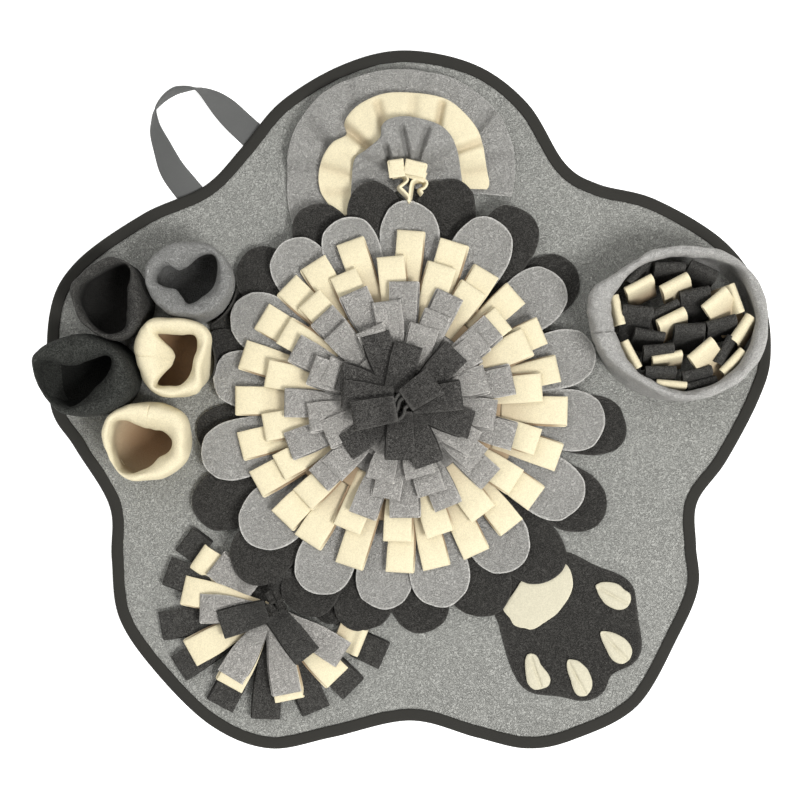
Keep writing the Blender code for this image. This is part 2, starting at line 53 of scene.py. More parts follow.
SOFTBOXES = (                              # x, y, z, size, watts: the key at the lower right, and a fill
    (1750, -1250, 3100, 1200, 129.0),
    (-1300, 1500, 3000, 2400, 31.0),
)
SKY_STRENGTH = 0.64


def at(x, y, z=0.0):
    """A place on the plan, as a place in the row frame in metres."""
    return (Vector((x, y, z)) - PLAN_MIDDLE) * MM


camera = bpy.data.objects.new("camera", bpy.data.cameras.new("camera"))
camera.data.angle = 2 * math.atan(VIEW_WIDTH / 2 / CAMERA_HEIGHT)
camera.location = at(0, 0, CAMERA_HEIGHT)
bpy.context.collection.objects.link(camera)
bpy.context.scene.camera = camera
bpy.context.scene.view_settings.view_transform = "Standard"

for number, (x, y, z, size, watts) in enumerate(SOFTBOXES, 1):
    light = bpy.data.lights.new(f"softbox_{number}", "AREA")
    light.size = size * MM
    light.energy = watts
    softbox = bpy.data.objects.new(light.name, light)
    softbox.location = at(x, y, z)
    softbox.rotation_euler = (-softbox.location).to_track_quat("-Z", "Y").to_euler()
    bpy.context.collection.objects.link(softbox)

sky = bpy.data.worlds.new("studio")
sky.use_nodes = True
sky.node_tree.nodes["Background"].inputs["Color"].default_value = (1.0, 1.0, 1.0, 1.0)
sky.node_tree.nodes["Background"].inputs["Strength"].default_value = SKY_STRENGTH
bpy.context.scene.world = sky

floor_shape = bmesh.new()
bmesh.ops.create_grid(floor_shape, x_segments=1, y_segments=1, size=FLOOR_SIZE / 2 * MM)
bmesh.ops.translate(floor_shape, verts=floor_shape.verts, vec=(0, 0, -FLOOR_DROP * MM))
floor_mesh = bpy.data.meshes.new("floor")
floor_shape.to_mesh(floor_mesh)
floor_shape.free()
floor = bpy.data.objects.new("floor", floor_mesh)
bpy.context.collection.objects.link(floor)
floor_paint = bpy.data.materials.new("floor_paint")
floor_paint.use_nodes = True
floor_shader = floor_paint.node_tree.nodes["Principled BSDF"]
floor_shader.inputs["Base Color"].default_value = (*FLOOR_COLOUR, 1.0)
floor_shader.inputs["Roughness"].default_value = 0.9
floor_shader.inputs["Emission Color"].default_value = (1.0, 1.0, 0.99, 1.0)
floor_shader.inputs["Emission Strength"].default_value = FLOOR_GLOW
floor_mesh.materials.append(floor_paint)


# The mat: two layers of grey fleece over a thin wadding, cut in five lobes. Its nap is short and pilled
# into small curls, and the quilted cloth rolls very slightly between the pieces sewn on it.
MAT_TOP = 5.0
MAT_UNDULATION = 0.35          # height of its rolls
MAT_ROLL = 70                  # and how far apart they are
MAT_INSET = 1.8                # its cut edge lies this far inside the binding's fold
MAT_GRID = (110, 110)
TONGUE = 0.68                  # the edge that goes into the binding, as a share of the mat's thickness
BINDING_WIDTH = 11.0
# x, y of the mat's outer edge, clockwise from the top lobe
EDGE = (
    (4, 314), (68, 301), (115, 266), (148, 213), (178, 194), (230, 180), (292, 142), (326, 92),
    (333, 40), (322, 0), (293, -55), (267, -92), (266, -130), (268, -168), (250, -212), (213, -275),
    (156, -305), (114, -313), (68, -303), (9, -288), (-61, -303), (-117, -313), (-169, -293),
    (-218, -246), (-252, -196), (-259, -142), (-261, -95), (-292, -43), (-314, -4), (-315, 76),
    (-292, 123), (-231, 167), (-176, 192), (-142, 227), (-107, 268), (-52, 301),
)


def mix(low, high, share):
    return low + (high - low) * share


def smooth(low, high, value):
    """0 below low, 1 above high, and an S between."""
    share = min(max((value - low) / (high - low), 0.0), 1.0)
    return share * share * (3.0 - 2.0 * share)


def heading(degrees):
    angle = math.radians(degrees)
    return Vector((math.cos(angle), math.sin(angle), 0.0))


def curve(anchors, share, closed=False):
    """A point at a share of the way along the smooth curve through the anchors."""
    count = len(anchors)
    spans = count if closed else count - 1
    index = min(int(share * spans), spans - 1)
    near = [(index + k) % count if closed else min(max(index + k, 0), count - 1) for k in (-1, 0, 1, 2)]
    before, start, end, after = (Vector(anchors[k]) for k in near)
    part = share * spans - index
    return 0.5 * (2 * start + (end - before) * part
                  + (2 * before - 5 * start + 4 * end - after) * part ** 2
                  + (3 * start - before - 3 * end + after) * part ** 3)


def reach_of(anchors, middle):
    """Distance from a middle to the smooth closed outline through the anchors, by direction in degrees."""
    points = [curve(anchors, step / 360, closed=True) - Vector(middle) for step in range(360)]
    directions = np.array([math.degrees(math.atan2(point.y, point.x)) for point in points])
    distances = np.array([point.length for point in points])
    return lambda direction: float(np.interp(direction, directions, distances, period=360))


def ripple(x, y, size, seed):
    """Smooth noise between -1 and 1 that changes over about that size."""
    return noise.noise(Vector((x / size, y / size, seed)))


def new_cloth():
    """An empty mesh for cloth, with room for the marks on its cut edges and for its painted shade deep
    inside, and its weave.
    """
    shape = bmesh.new()
    shape.verts.layers.float.new("cut")
    shape.verts.layers.float.new("deep")
    shape.loops.layers.uv.new("UVMap")
    return shape


def lay(shape, columns, rows, place, painted_shade=None):
    """Adds a sheet whose points place(u, v) sets, with u across and v along, both from 0 to 1.

    Its last argument, a function of u and v, gives each point's painted shade from 0 to 1: how dark it is
    painted deep inside a fold or a tube.
    """
    made = bmesh.ops.create_grid(shape, x_segments=columns, y_segments=rows, size=1.0, calc_uvs=True)
    deep = shape.verts.layers.float["deep"]
    for point in made["verts"]:
        u, v = (point.co.x + 1) / 2, (point.co.y + 1) / 2
        point.co = place(u, v)
        if painted_shade:
            # painted shade, kept in the cloth's deep mark
            point[deep] = painted_shade(u, v)


def disc(u, v):
    """A place in the round disc for a place in the square sheet."""
    x, y = 2 * u - 1, 2 * v - 1
    return x * math.sqrt(1 - y * y / 2), y * math.sqrt(1 - x * x / 2)


def cut_out(anchors, middle, height, inset=0.0):
    """Where a flat piece cut to an outline lies. height(x, y, share) is its top, share 1 at the edge."""
    reach = reach_of(anchors, middle)

    def place(u, v):
        x, y = disc(u, v)
        share = math.hypot(x, y)
        turn = math.degrees(math.atan2(y, x))
        spot = Vector((*middle, 0.0)) + heading(turn) * share * (reach(turn) - inset)
        return at(spot.x, spot.y, height(spot.x, spot.y, share))
    return place


def sew(name, shape, node, slot, finish, thick, flat, held, rests_on=("mat_panel",), area=None, rounds=1):
    """Makes a piece from its outer faces: gives it thickness inwards and softens it, and hides the model's
    part in its place.
    """
    bmesh.ops.remove_doubles(shape, verts=shape.verts, dist=0.00001)
    cut = shape.verts.layers.float["cut"]
    for point in shape.verts:
        point[cut] = 1.0 if point.is_boundary else 0.0
    mesh = bpy.data.meshes.new(name)
    shape.to_mesh(mesh)
    shape.free()
    mesh.shade_smooth()
    mesh.materials.append(finish)
    obj = bpy.data.objects.new(name, mesh)
    bpy.context.collection.objects.link(obj)
    solid = obj.modifiers.new("thickness", "SOLIDIFY")
    solid.thickness = thick * MM
    solid.offset = -1.0
    if rounds:
        soft = obj.modifiers.new("softness", "SUBSURF")
        soft.levels = soft.render_levels = rounds
    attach(obj, "root")
    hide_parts(node)
    [side * MM for side in flat]
    list(rests_on)
    area and area * MM * MM
    return obj


class Link:
    """An output of a material's node, with arithmetic that adds Math nodes."""

    def __init__(self, tree, socket=None):
        self.tree = tree
        self.socket = socket

    def node(self, kind, settings, values, out=0):
        """An output of a new node, made with its settings and the values or links of its sockets."""
        made = self.tree.nodes.new("ShaderNode" + kind)
        for name, value in settings.items():
            setattr(made, name, value)
        for key, value in values.items():
            if isinstance(value, Link):
                self.tree.links.new(value.socket, made.inputs[key])
            else:
                made.inputs[key].default_value = value
        return Link(self.tree, made.outputs[out])

    def maths(self, operation, first, second=0.0):
        return self.node("Math", {"operation": operation}, {0: first, 1: second})

    def __add__(self, other):
        return self.maths("ADD", self, other)

    def __sub__(self, other):
        return self.maths("SUBTRACT", self, other)

    def __rsub__(self, other):
        return self.maths("SUBTRACT", other, self)

    def __mul__(self, other):
        return self.maths("MULTIPLY", self, other)

    def __pow__(self, other):
        return self.maths("POWER", self, other)

    __radd__ = __add__
    __rmul__ = __mul__

    def blend(self, low, high, share):
        """A colour between two colours."""
        return self.node("Mix", {"data_type": "RGBA"}, {0: share, 6: low, 7: high}, 2)


def tinted(colour, factor):
    return (*(channel * factor for channel in colour), 1.0)


def plain_shader(name, roughness, sheen, sheen_tint):
    """A new material's node tree and its shader, with all that is the same over the whole cloth."""
    material = bpy.data.materials.new(name)
    material.use_nodes = True
    shader = material.node_tree.nodes["Principled BSDF"]
    shader.inputs["Roughness"].default_value = roughness
    shader.inputs["Specular IOR Level"].default_value = 0.12
    shader.inputs["Sheen Weight"].default_value = sheen
    shader.inputs["Sheen Roughness"].default_value = 0.55
    shader.inputs["Sheen Tint"].default_value = sheen_tint
    return material, shader


# how many per metre of the nap's curls, of its fibres and of the patches where it is brushed one way, and
# how strongly each tells in the tone
NAP_SCALE = 500.0
FIBRE_SCALE = 1500.0
PATCH_SCALE = 24.0
NAP_TONE = 4.6
FIBRE_TONE = 2.0
PATCH_TONE = 0.4
NAP_RELIEF = 0.0037            # depth of the nap, in metres
NAP_SHARE = 0.8                # of that depth, the rest is fibres
PAINTED_SHADE_TINT = 0.35               # brightness of the painted shade deep inside a fold


def fleece(name, colour, contrast, relief=1.0, sheen=0.12, edge_tint=1.0, painted_shade_colour=None):
    """Fleece: curls of nap with finer fibres, brushed in patches; pale cut edges, partly painted highlight;
    painted shade deep inside.
    """
    material, shader = plain_shader(name, 0.95, sheen, tinted(colour, 1.3))
    link = Link(material.node_tree)
    spot = link.node("TexCoord", {}, {}, "Object")
    curls = link.node("TexNoise", {}, {"Vector": spot, "Scale": NAP_SCALE, "Detail": 0.5, "Distortion": 2.4})
    fibres = link.node("TexNoise", {}, {"Vector": spot, "Scale": FIBRE_SCALE, "Detail": 2.0})
    patches = link.node("TexNoise", {}, {"Vector": spot, "Scale": PATCH_SCALE, "Detail": 2.0})
    tone = 0.5 + (curls - 0.5) * NAP_TONE + (fibres - 0.5) * FIBRE_TONE + (patches - 0.5) * PATCH_TONE
    cloth_colour = link.blend(tinted(colour, 1 - contrast), tinted(colour, 1 + contrast), tone)
    # cut edges paler: partly the cut cloth's own colour, partly a painted highlight where an edge catches the
    # light
    edge = link.node("Attribute", {"attribute_name": "cut"}, {}, "Fac") ** 2.0
    cloth_colour = link.blend(cloth_colour, tinted(colour, edge_tint), edge)
    # painted shade: the colour goes darker where the cloth lies deep inside a fold or a tube
    deep = link.node("Attribute", {"attribute_name": "deep"}, {}, "Fac")
    shade = tinted(painted_shade_colour, 1.0) if painted_shade_colour else tinted(colour, PAINTED_SHADE_TINT)
    cloth_colour = link.blend(cloth_colour, shade, deep)
    pile = curls * NAP_SHARE + fibres * (1 - NAP_SHARE)
    bump = link.node("Bump", {}, {"Strength": relief, "Distance": NAP_RELIEF, "Height": pile})
    link.tree.links.new(cloth_colour.socket, shader.inputs["Base Color"])
    link.tree.links.new(bump.socket, shader.inputs["Normal"])
    return material


mat_fleece = fleece("mat_fleece", (0.36, 0.36, 0.334), contrast=0.3)


def mat_height(x, y, share):
    rolls = 0.5 + 0.5 * ripple(x, y, MAT_ROLL, 3.1)
    return MAT_TOP + MAT_UNDULATION * rolls * (1 - share ** 8)


mat_shape = new_cloth()
lay(mat_shape, *MAT_GRID, cut_out(EDGE, (0.0, 0.0), mat_height, inset=MAT_INSET))
mat = sew("mat", mat_shape, "mat_panel", "mat_fleece", mat_fleece, MAT_TOP, (645, 625), "laid", rests_on=(),
          rounds=0)

# Its edge is pressed thinner where the binding holds it.
body = mat.vertex_groups.new(name="body")
mat_reach = reach_of(EDGE, (0.0, 0.0))
for point in mat.data.vertices:
    spot = point.co / MM + PLAN_MIDDLE
    if spot.xy.length < mat_reach(math.degrees(math.atan2(spot.y, spot.x))) - 2 * BINDING_WIDTH:
        body.add([point.index], 1.0, "REPLACE")
mat.modifiers["thickness"].vertex_group = "body"
mat.modifiers["thickness"].thickness_vertex_group = TONGUE


# The binding: one length of dark tape folded in half over the mat's edge and sewn down all round.
# It is smooth and matt, and stands a little proud of the fleece.
BINDING_GRID = (420, 20)       # along it, and round the edge
BINDING_THICK = 1.2
TAPE_SEWN = 6.0                # further in than this it wavers, along its seam
TAPE_WAVER = 0.35
TAPE_PATCH_SCALE = 30.0        # lighter and darker patches per metre
TAPE_RELIEF = 0.0003           # depth of the ribs, in metres
# inset from the outer edge and height, over the top of the fold, round it and under the mat
BINDING_SECTION = (
    (11.0, 5.9), (10.3, 6.5), (8.0, 6.7), (4.5, 6.7), (1.8, 6.3), (0.4, 5.0), (0.0, 3.4), (0.4, 1.6),
    (1.8, 0.3), (5.0, 0.05), (11.0, 0.0),
)


def woven(name, colour, ribs_along, ribs_across, contrast=0.18):
    """Woven tape: fine ribs in both directions of the piece's own weave, slightly uneven in tone."""
    material, shader = plain_shader(name, 0.8, 0.06, tinted(colour, 1.6))
    link = Link(material.node_tree)
    spot = link.node("TexCoord", {}, {}, "Object")
    weave = link.node("TexCoord", {}, {}, "UV")
    across = link.node("SeparateXYZ", {}, {0: weave}, 0)
    along = link.node("SeparateXYZ", {}, {0: weave}, 1)
    warp = link.maths("SINE", across * (2 * math.pi * ribs_across))
    weft = link.maths("SINE", along * (2 * math.pi * ribs_along))
    fibres = link.node("TexNoise", {}, {"Vector": spot, "Scale": FIBRE_SCALE, "Detail": 2.0})
    patches = link.node("TexNoise", {}, {"Vector": spot, "Scale": TAPE_PATCH_SCALE, "Detail": 2.0})
    height = warp * weft * 0.5 + fibres * 0.6
    tone = 0.2 + height * 0.35 + patches * 0.35
    cloth_colour = link.blend(tinted(colour, 1 - contrast), tinted(colour, 1 + contrast), tone)
    bump = link.node("Bump", {}, {"Strength": 0.5, "Distance": TAPE_RELIEF, "Height": height})
    link.tree.links.new(cloth_colour.socket, shader.inputs["Base Color"])
    link.tree.links.new(bump.socket, shader.inputs["Normal"])
    return material


binding_tape = woven("binding_tape", (0.029, 0.028, 0.0245), 16, 2600)


def binding_place(u, v):
    here = curve(EDGE, u % 1.0, closed=True)
    ahead = curve(EDGE, (u + 0.002) % 1.0, closed=True) - curve(EDGE, (u - 0.002) % 1.0, closed=True)
    outwards = Vector((-ahead.y, ahead.x)).normalized()
    inset, height = curve(BINDING_SECTION, v)
    if inset > TAPE_SEWN:
        inset += TAPE_WAVER * ripple(here.x, here.y, 9, 1.7)
    spot = here - outwards * inset
    return at(spot.x, spot.y, height)


binding_shape = new_cloth()
lay(binding_shape, *BINDING_GRID, binding_place)
sew("binding", binding_shape, "edge_binding", "binding_tape", binding_tape, BINDING_THICK, (2120, 30),
    "folded", rounds=0)


# The strap: a length of webbing whose two ends are sewn under the binding. It leaves the edge flat,
# turns up on its edge round the top of the loop and lies down again.
STRAP_GRID = (6, 90)           # across it, and along
STRAP_WIDTH = 25.0
STRAP_THICK = 1.8
STRAP_LENGTH = 222.0
STRAP_LIFT = 0.3               # of its lower edge, over the floor
# x, y along its middle, and its lean (0 lies flat, 90 stands on edge, inner edge up)
STRAP_PATH = (
    (-180, 175, 2), (-189.6, 187, 4), (-204.5, 205.9, 20), (-213, 224.9, 42), (-218.8, 239.8, 58),
    (-220, 250.3, 70), (-219.7, 257.4, 77), (-216.8, 263.2, 84), (-209.6, 270.9, 91), (-201, 276.4, 94),
    (-193.8, 278.2, 92), (-186.4, 279, 86), (-180.2, 278.5, 77), (-172.3, 274.6, 61), (-164, 268.1, 40),
    (-155.2, 259.6, 20), (-146.8, 251, 10), (-133.7, 238.8, 3), (-124, 230, 2),
)

webbing = woven("webbing", (0.102, 0.103, 0.10), 150, 22, contrast=0.22)


def strap_place(u, v):
    here = curve(STRAP_PATH, v)
    ahead = curve(STRAP_PATH, min(v + 0.01, 1.0)) - curve(STRAP_PATH, max(v - 0.01, 0.0))
    lean = math.radians(max(here.z, 0.0))
    inner = Vector((ahead.y, -ahead.x, 0.0)).normalized()
    width = (inner * math.cos(lean) + Vector((0, 0, math.sin(lean)))) * STRAP_WIDTH / 2
    middle = Vector((here.x, here.y, width.z + STRAP_THICK + STRAP_LIFT))
    spot = middle + width * (2 * u - 1)
    return at(*spot)


strap_shape = new_cloth()
lay(strap_shape, *STRAP_GRID, strap_place)
sew("strap", strap_shape, "handle_strap", "webbing", webbing, STRAP_THICK, (STRAP_WIDTH, STRAP_LENGTH),
    "folded")


# The flower's dark under-petals: twenty rounded petals of dark fleece, sewn in two rings under the
# light ones, so that a dark crescent shows past each light petal.
FLOWER = Vector((1.8, -1.8, 0.0))
PETAL_THICK = 1.7
PETAL_ROOT = 98.0
PETAL_ROWS = (8, 7)            # along the straight part, and over the round tip
PETAL_GRID = (10, sum(PETAL_ROWS))
PETAL_NECK = 0.66              # width at the root, as a share
PETAL_TIP = 1.15               # length of the round tip, as a share of its half-width
CLIMB_FROM = 149.0             # some petals climb, over ruffles or the paw, between these radii
CLIMB_TO = 196.0
CROWN_SPREAD = (-2.6, 1.6)
PETAL_ROLL = 0.9               # how far a side is up or down, at the tip
PETAL_WAVE = 0.035             # how far its outline wavers, as a share
PETAL_RIPPLE = 1.5             # how high it ripples
CREASE_WIDTH = 0.13            # of the crease down its middle, as a share of its half-width
CREASE_LEAN = 0.35             # how far the crease may run off to a side, in the same measure
DARK_LEVELS = (10.4, 7.3)
# direction, reach, half-width and climb
DARK_PETALS = (
    (-151, 211, 27, 0), (-169.5, 187, 27, 0), (165, 186, 25, 0), (152.5, 192, 26, 0), (137.5, 194, 28, 0),
    (115.5, 194, 26, 14), (98, 196, 26, 17), (77, 204, 27, 17), (57, 202, 27, 15), (38.5, 197, 27, 0),
    (17, 164, 25, 0), (-7, 203, 27, 0), (-30, 207, 28, 0), (-49, 207, 30, 5), (-67, 207, 30, 0),
    (-85, 208, 27, 0), (-101, 209, 27, 4), (-116.5, 211, 27, 11), (-133, 212, 28, 12),
    (-108.5, 209, 26, 0),
)
# x, y and radius of the feet of what stands beside the flower, which petals are pushed up against
FEET = ((-181, 101, 33), (-197, 35, 31), (-219, -36, 33), (246, 65, 70))
FOOT_GAP = 3.5
PUSHED_RISE = 0.9              # for each millimetre that it is pushed
petal_draw = random.Random(41)


def tight(share):
    """A share between -1 and 1 pushed towards its ends, for narrower faces along an edge."""
    return share * (1.55 - 0.55 * abs(share))


def petal(level, direction, reach, half, climb, crown, droop, crease, curl, draw):
    """Where one petal lies: a strip that widens to its round tip.

    crown is how high its middle stands, droop how far its tip falls, crease the depth of the fold that
    runs out from the seam, and curl how far its edge turns up. The draw makes each petal a little its own.
    """
    crown += draw.uniform(*CROWN_SPREAD)
    tip = half * PETAL_TIP
    straight = reach - PETAL_ROOT - tip
    turn = PETAL_ROWS[0] / sum(PETAL_ROWS)
    out, side = heading(direction), heading(direction - 90)
    seed = draw.uniform(0, 50)
    roll = draw.uniform(-PETAL_ROLL, PETAL_ROLL)
    crease_side = draw.uniform(-CREASE_LEAN, CREASE_LEAN)

    def place(u, v):
        across = tight(2 * u - 1)
        if v < turn:
            share = v / turn
            x = across * half * mix(PETAL_NECK, 1.0, math.sin(share * math.pi / 2))
            y = straight * share
            edge = abs(across)
        else:
            share = tight((v - turn) / (1 - turn))
            edge = max(abs(across), share)
            x = across * math.sqrt(1 - share ** 2 / 2) * half
            y = straight + share * math.sqrt(1 - across ** 2 / 2) * tip
        wave = 1 + PETAL_WAVE * noise.noise(Vector((x / half, y / half, seed)))
        spot = out * (PETAL_ROOT + y * wave) + side * x * wave
        along = y / (straight + tip)
        steep = min(max((spot.length - CLIMB_FROM) / (CLIMB_TO - CLIMB_FROM), 0.0), 1.0)
        height = level + PETAL_THICK + climb * steep - droop * along ** 2
        height += crown * (1 - (x / half) ** 2) * smooth(0.0, 0.4, along)
        height += roll * x / half * along + PETAL_RIPPLE * ripple(spot.x, spot.y, 19, seed)
        height += curl * edge ** 6 * smooth(0.3, 0.8, along)
        groove = (x / half - crease_side * along) / CREASE_WIDTH
        height -= crease * math.exp(-groove ** 2) * (1 - smooth(0.45, 0.95, along))
        spot = spot + FLOWER
        for foot_x, foot_y, radius in FEET:
            away = Vector((spot.x - foot_x, spot.y - foot_y, 0.0))
            pushed = radius + FOOT_GAP - away.length
            if pushed > 0:
                spot += away.normalized() * pushed
                height += PUSHED_RISE * pushed
        return at(spot.x, spot.y, height)
    return place


dark_fleece = fleece("dark_fleece", (0.050, 0.048, 0.044), contrast=0.42, sheen=0.05, edge_tint=1.6)

for number, (direction, reach, half, climb) in enumerate(DARK_PETALS):
    petal_shape = new_cloth()
    lay(petal_shape, *PETAL_GRID, petal(
        DARK_LEVELS[number % 2], direction, reach, half, climb, crown=0.8, droop=1.6, crease=0.0, curl=0.8,
        draw=petal_draw))
    sew(f"dark_petal_{number + 1:02d}", petal_shape, ("petals_dark_high", "petals_dark_low")[number % 2],
        "dark_fleece", dark_fleece, PETAL_THICK, (2 * half, reach - PETAL_ROOT), "stretched")


# The flower's light petals: sixteen of light-grey fleece, laid in turn over and under each other.
# Their cut edges are pale, partly by their own colour and partly by painted highlight; most have a soft
# crease from the seam.
LIGHT_LEVELS = (13.0, 15.4)
# direction, reach, half-width, climb and depth of the crease
LIGHT_PETALS = (
    (87.3, 178, 27.0, 21, 0.66), (62.4, 181, 27.0, 20, 2.64), (38.0, 179, 27.0, 0, 1.32),
    (15.2, 179, 26.0, 0, 2.64), (-6.2, 182, 28.0, 0, 0.88), (-30.0, 183, 28.0, 0, 3.08),
    (-55.0, 180, 28.0, 7, 1.1), (-77.6, 186, 27.0, 0, 3.96), (-95.6, 186, 26.0, 0, 1.76),
    (-115.7, 188, 26.5, 8, 3.52), (-138.5, 184, 29.0, 13, 0.88), (-164.0, 185, 27.0, 0, 1.76),
    (171.8, 171, 26.0, 0, 3.96), (150.6, 172, 27.0, 0, 1.32), (127.3, 177, 27.0, 14, 0.88),
    (108.4, 171, 26.0, 20, 1.76),
)

light_fleece = fleece("light_fleece", (0.38, 0.372, 0.35), contrast=0.19, edge_tint=1.9)

for number, (direction, reach, half, climb, crease) in enumerate(LIGHT_PETALS):
    petal_shape = new_cloth()
    lay(petal_shape, *PETAL_GRID, petal(
        LIGHT_LEVELS[number % 2], direction, reach, half, climb, crown=1.1, droop=0.6, crease=crease,
        curl=1.8, draw=petal_draw))
    sew(f"light_petal_{number + 1:02d}", petal_shape, f"petal_light_{number + 1:02d}", "light_fleece",
        light_fleece, PETAL_THICK, (2 * half, reach - PETAL_ROOT), "stretched")


# The flower's fringe: strips of fleece folded double and caught in round seams, two rows of cream, three
# of grey and a dark heart. Each fold is a straight end, and each row falls over the one outside it.
STRIP_HALF = 12.9
STRIP_CUT = 1.5                # thickness of one layer
FRINGE_LEVEL = 18.4            # underside of the outer row at its tips
FRINGE_RIM = 148.0             # radius of the flower's dome
FRINGE_DROP = 7.0              # how far it falls from its middle to there
# direction and reach of each strip
CREAM_OUTER = (
    (179.4, 148.4), (163.1, 148.4), (148.4, 146.6), (134.4, 146.6), (122.5, 147.5), (108.1, 151.0),
    (87.1, 152.8), (72.0, 150.1), (57.0, 139.0), (43.6, 140.4), (27.0, 139.9), (12.1, 142.1),
    (-3.0, 147.5), (-19.6, 148.4), (-35.8, 147.5), (-48.8, 148.4), (-64.0, 151.0), (-78.3, 151.0),
    (-91.0, 151.9), (-108.1, 153.7), (-124.2, 151.0), (-135.5, 150.1), (-150.7, 149.3), (-164.8, 149.3),
)
CREAM_INNER = (
    (168.0, 122.9), (149.0, 122.9), (132.0, 123.4), (114.7, 126.0), (94.6, 129.6), (73.5, 126.9),
    (57.8, 120.3), (39.5, 116.8), (25.7, 123.8), (6.0, 124.7), (-16.5, 125.6), (-35.0, 123.8),
    (-54.0, 122.9), (-74.0, 122.1), (-92.0, 123.8), (-113.5, 123.4), (-135.7, 123.8), (-152.0, 123.8),
    (-169.5, 124.7),
)
GREY_OUTER = (
    (180.5, 103.9), (153.0, 106.6), (132.5, 104.8), (113.7, 106.6), (89.4, 106.6), (65.5, 104.4),
    (40.0, 105.2), (11.3, 100.0), (-17.3, 103.9), (-40.8, 103.9), (-66.2, 101.3), (-89.0, 102.2),
    (-109.5, 106.6), (-137.0, 101.3), (-158.8, 107.9),
)
GREY_MIDDLE = (
    (160.0, 85.1), (133.5, 86.9), (98.6, 90.0), (67.5, 85.1), (39.0, 90.4), (-7.5, 83.4),
    (-37.0, 85.1), (-72.0, 85.1), (-99.5, 86.0), (-135.5, 86.9), (-170.5, 83.4),
)
GREY_INNER = (
    (157.0, 73.5), (114.0, 70.9), (73.0, 70.0), (36.0, 78.8), (16.0, 77.0), (-30.0, 74.4),
    (-76.0, 67.4), (-106.0, 71.8), (-157.0, 73.5),
)
# name, node, cloth, strips, seam radius, height above the outer row, thickness when folded
FRINGES = (
    ("cream_fringe_outer", "fringe_1", "cream", CREAM_OUTER, 87, 0.0, 4.2),
    ("cream_fringe_inner", "fringe_2", "cream", CREAM_INNER, 68, 5.1, 4.2),
    ("grey_fringe_outer", "fringe_3", "grey", GREY_OUTER, 50, 10.2, 4.0),
    ("grey_fringe_middle", "fringe_4", "grey", GREY_MIDDLE, 34, 14.6, 3.4),
    ("grey_fringe_inner", "fringe_4", "grey", GREY_INNER, 30, 18.2, 3.4),
)
# root x, y and tip x, y from the flower's middle, half-width at the root, height above the outer row,
# and roll, positive where the right side is up
HEART_LOW = (
    (-8.5, 10.5, -23.6, 60.4, 9.0, 21.0, -0.18), (10.5, 6.0, 48.1, 44.6, 9.0, 22.6, 0.12),
    (9.5, -5.0, 61.3, -20.1, 9.0, 21.0, 0.10), (8.0, -8.5, 23.6, -55.1, 9.0, 22.6, 0.16),
    (-8.5, -12.8, -49.9, -40.3, 9.0, 21.0, 0.0), (-10.0, 8.5, -56.0, 22.8, 9.0, 22.6, 0.14),
)
HEART_HIGH = (
    (-6.5, 7.5, 6.1, 50.8, 10.5, 26.2, 0.16), (8.0, 0.0, 52.5, 6.1, 10.5, 27.2, -0.14),
    (-1.4, -7.5, -1.8, -50.8, 11.0, 26.2, 0.22), (-6.5, 2.0, -52.5, 7.0, 10.5, 27.2, 0.12),
    (2.5, 1.0, 29.3, 19.3, 11.5, 36.0, 0.2), (-4.5, -5.5, -43.6, -12.6, 12.0, 35.0, -0.2),
)
HEARTS = (("dark_heart_low", "fringe_5", HEART_LOW), ("dark_heart_high", "fringe_6", HEART_HIGH))
HEART_THICK = 5.2
STRIP_ACROSS = (-1.0, -0.9, 0.0, 0.9, 1.0)
STRIP_ROWS = (9, 4, 5)         # over the top, round the fold, and back underneath
STRIP_GRID = (len(STRIP_ACROSS) - 1, sum(STRIP_ROWS))
STRIP_SIDE_DIP = 1.2           # of its two long edges
STRIP_RIPPLE = 0.6
FOLD_LOOP = 0.62               # radius of the loop at the fold, as a share of the folded thickness
ROOT_LOOP = 0.42               # the same where the two layers are caught in the seam
BULGE_PLACE = 0.8              # the strip swells most here, as a share of its length, over this length
BULGE_LENGTH = 0.13
SEAM_BAND = 23.0               # width of the cloth band through the folds that a row is sewn on
SEAM_BAND_START = 3            # and how far inside the seam it begins
SEAM_BAND_GRID = (96, 2)

# the cream's painted shade, deep in its folds, is brown
cream_fleece = fleece("cream_fleece", (0.67, 0.60, 0.418), contrast=0.07, relief=0.25, sheen=0.05,
                      edge_tint=1.15, painted_shade_colour=(0.24, 0.15, 0.085))
grey_fleece = fleece("grey_fleece", (0.405, 0.39, 0.363), contrast=0.26, edge_tint=2.1)
dark_strips = fleece("dark_strips", (0.066, 0.064, 0.059), contrast=0.45, sheen=0.05, edge_tint=1.6)
# the same dark fleece as the petals, painted lighter for the light on the heart's raised strips
painted_lit_heart_fleece = fleece("painted_lit_heart_fleece", (0.074, 0.071, 0.066), contrast=0.55, sheen=0.08, edge_tint=2.3)
# the record's slot and the finish of each cloth
CLOTHS = {
    "cream": ("cream_fleece", cream_fleece), "grey": ("grey_fleece", grey_fleece),
    "dark": ("dark_fleece", dark_strips),
}
strip_draw = random.Random(11)


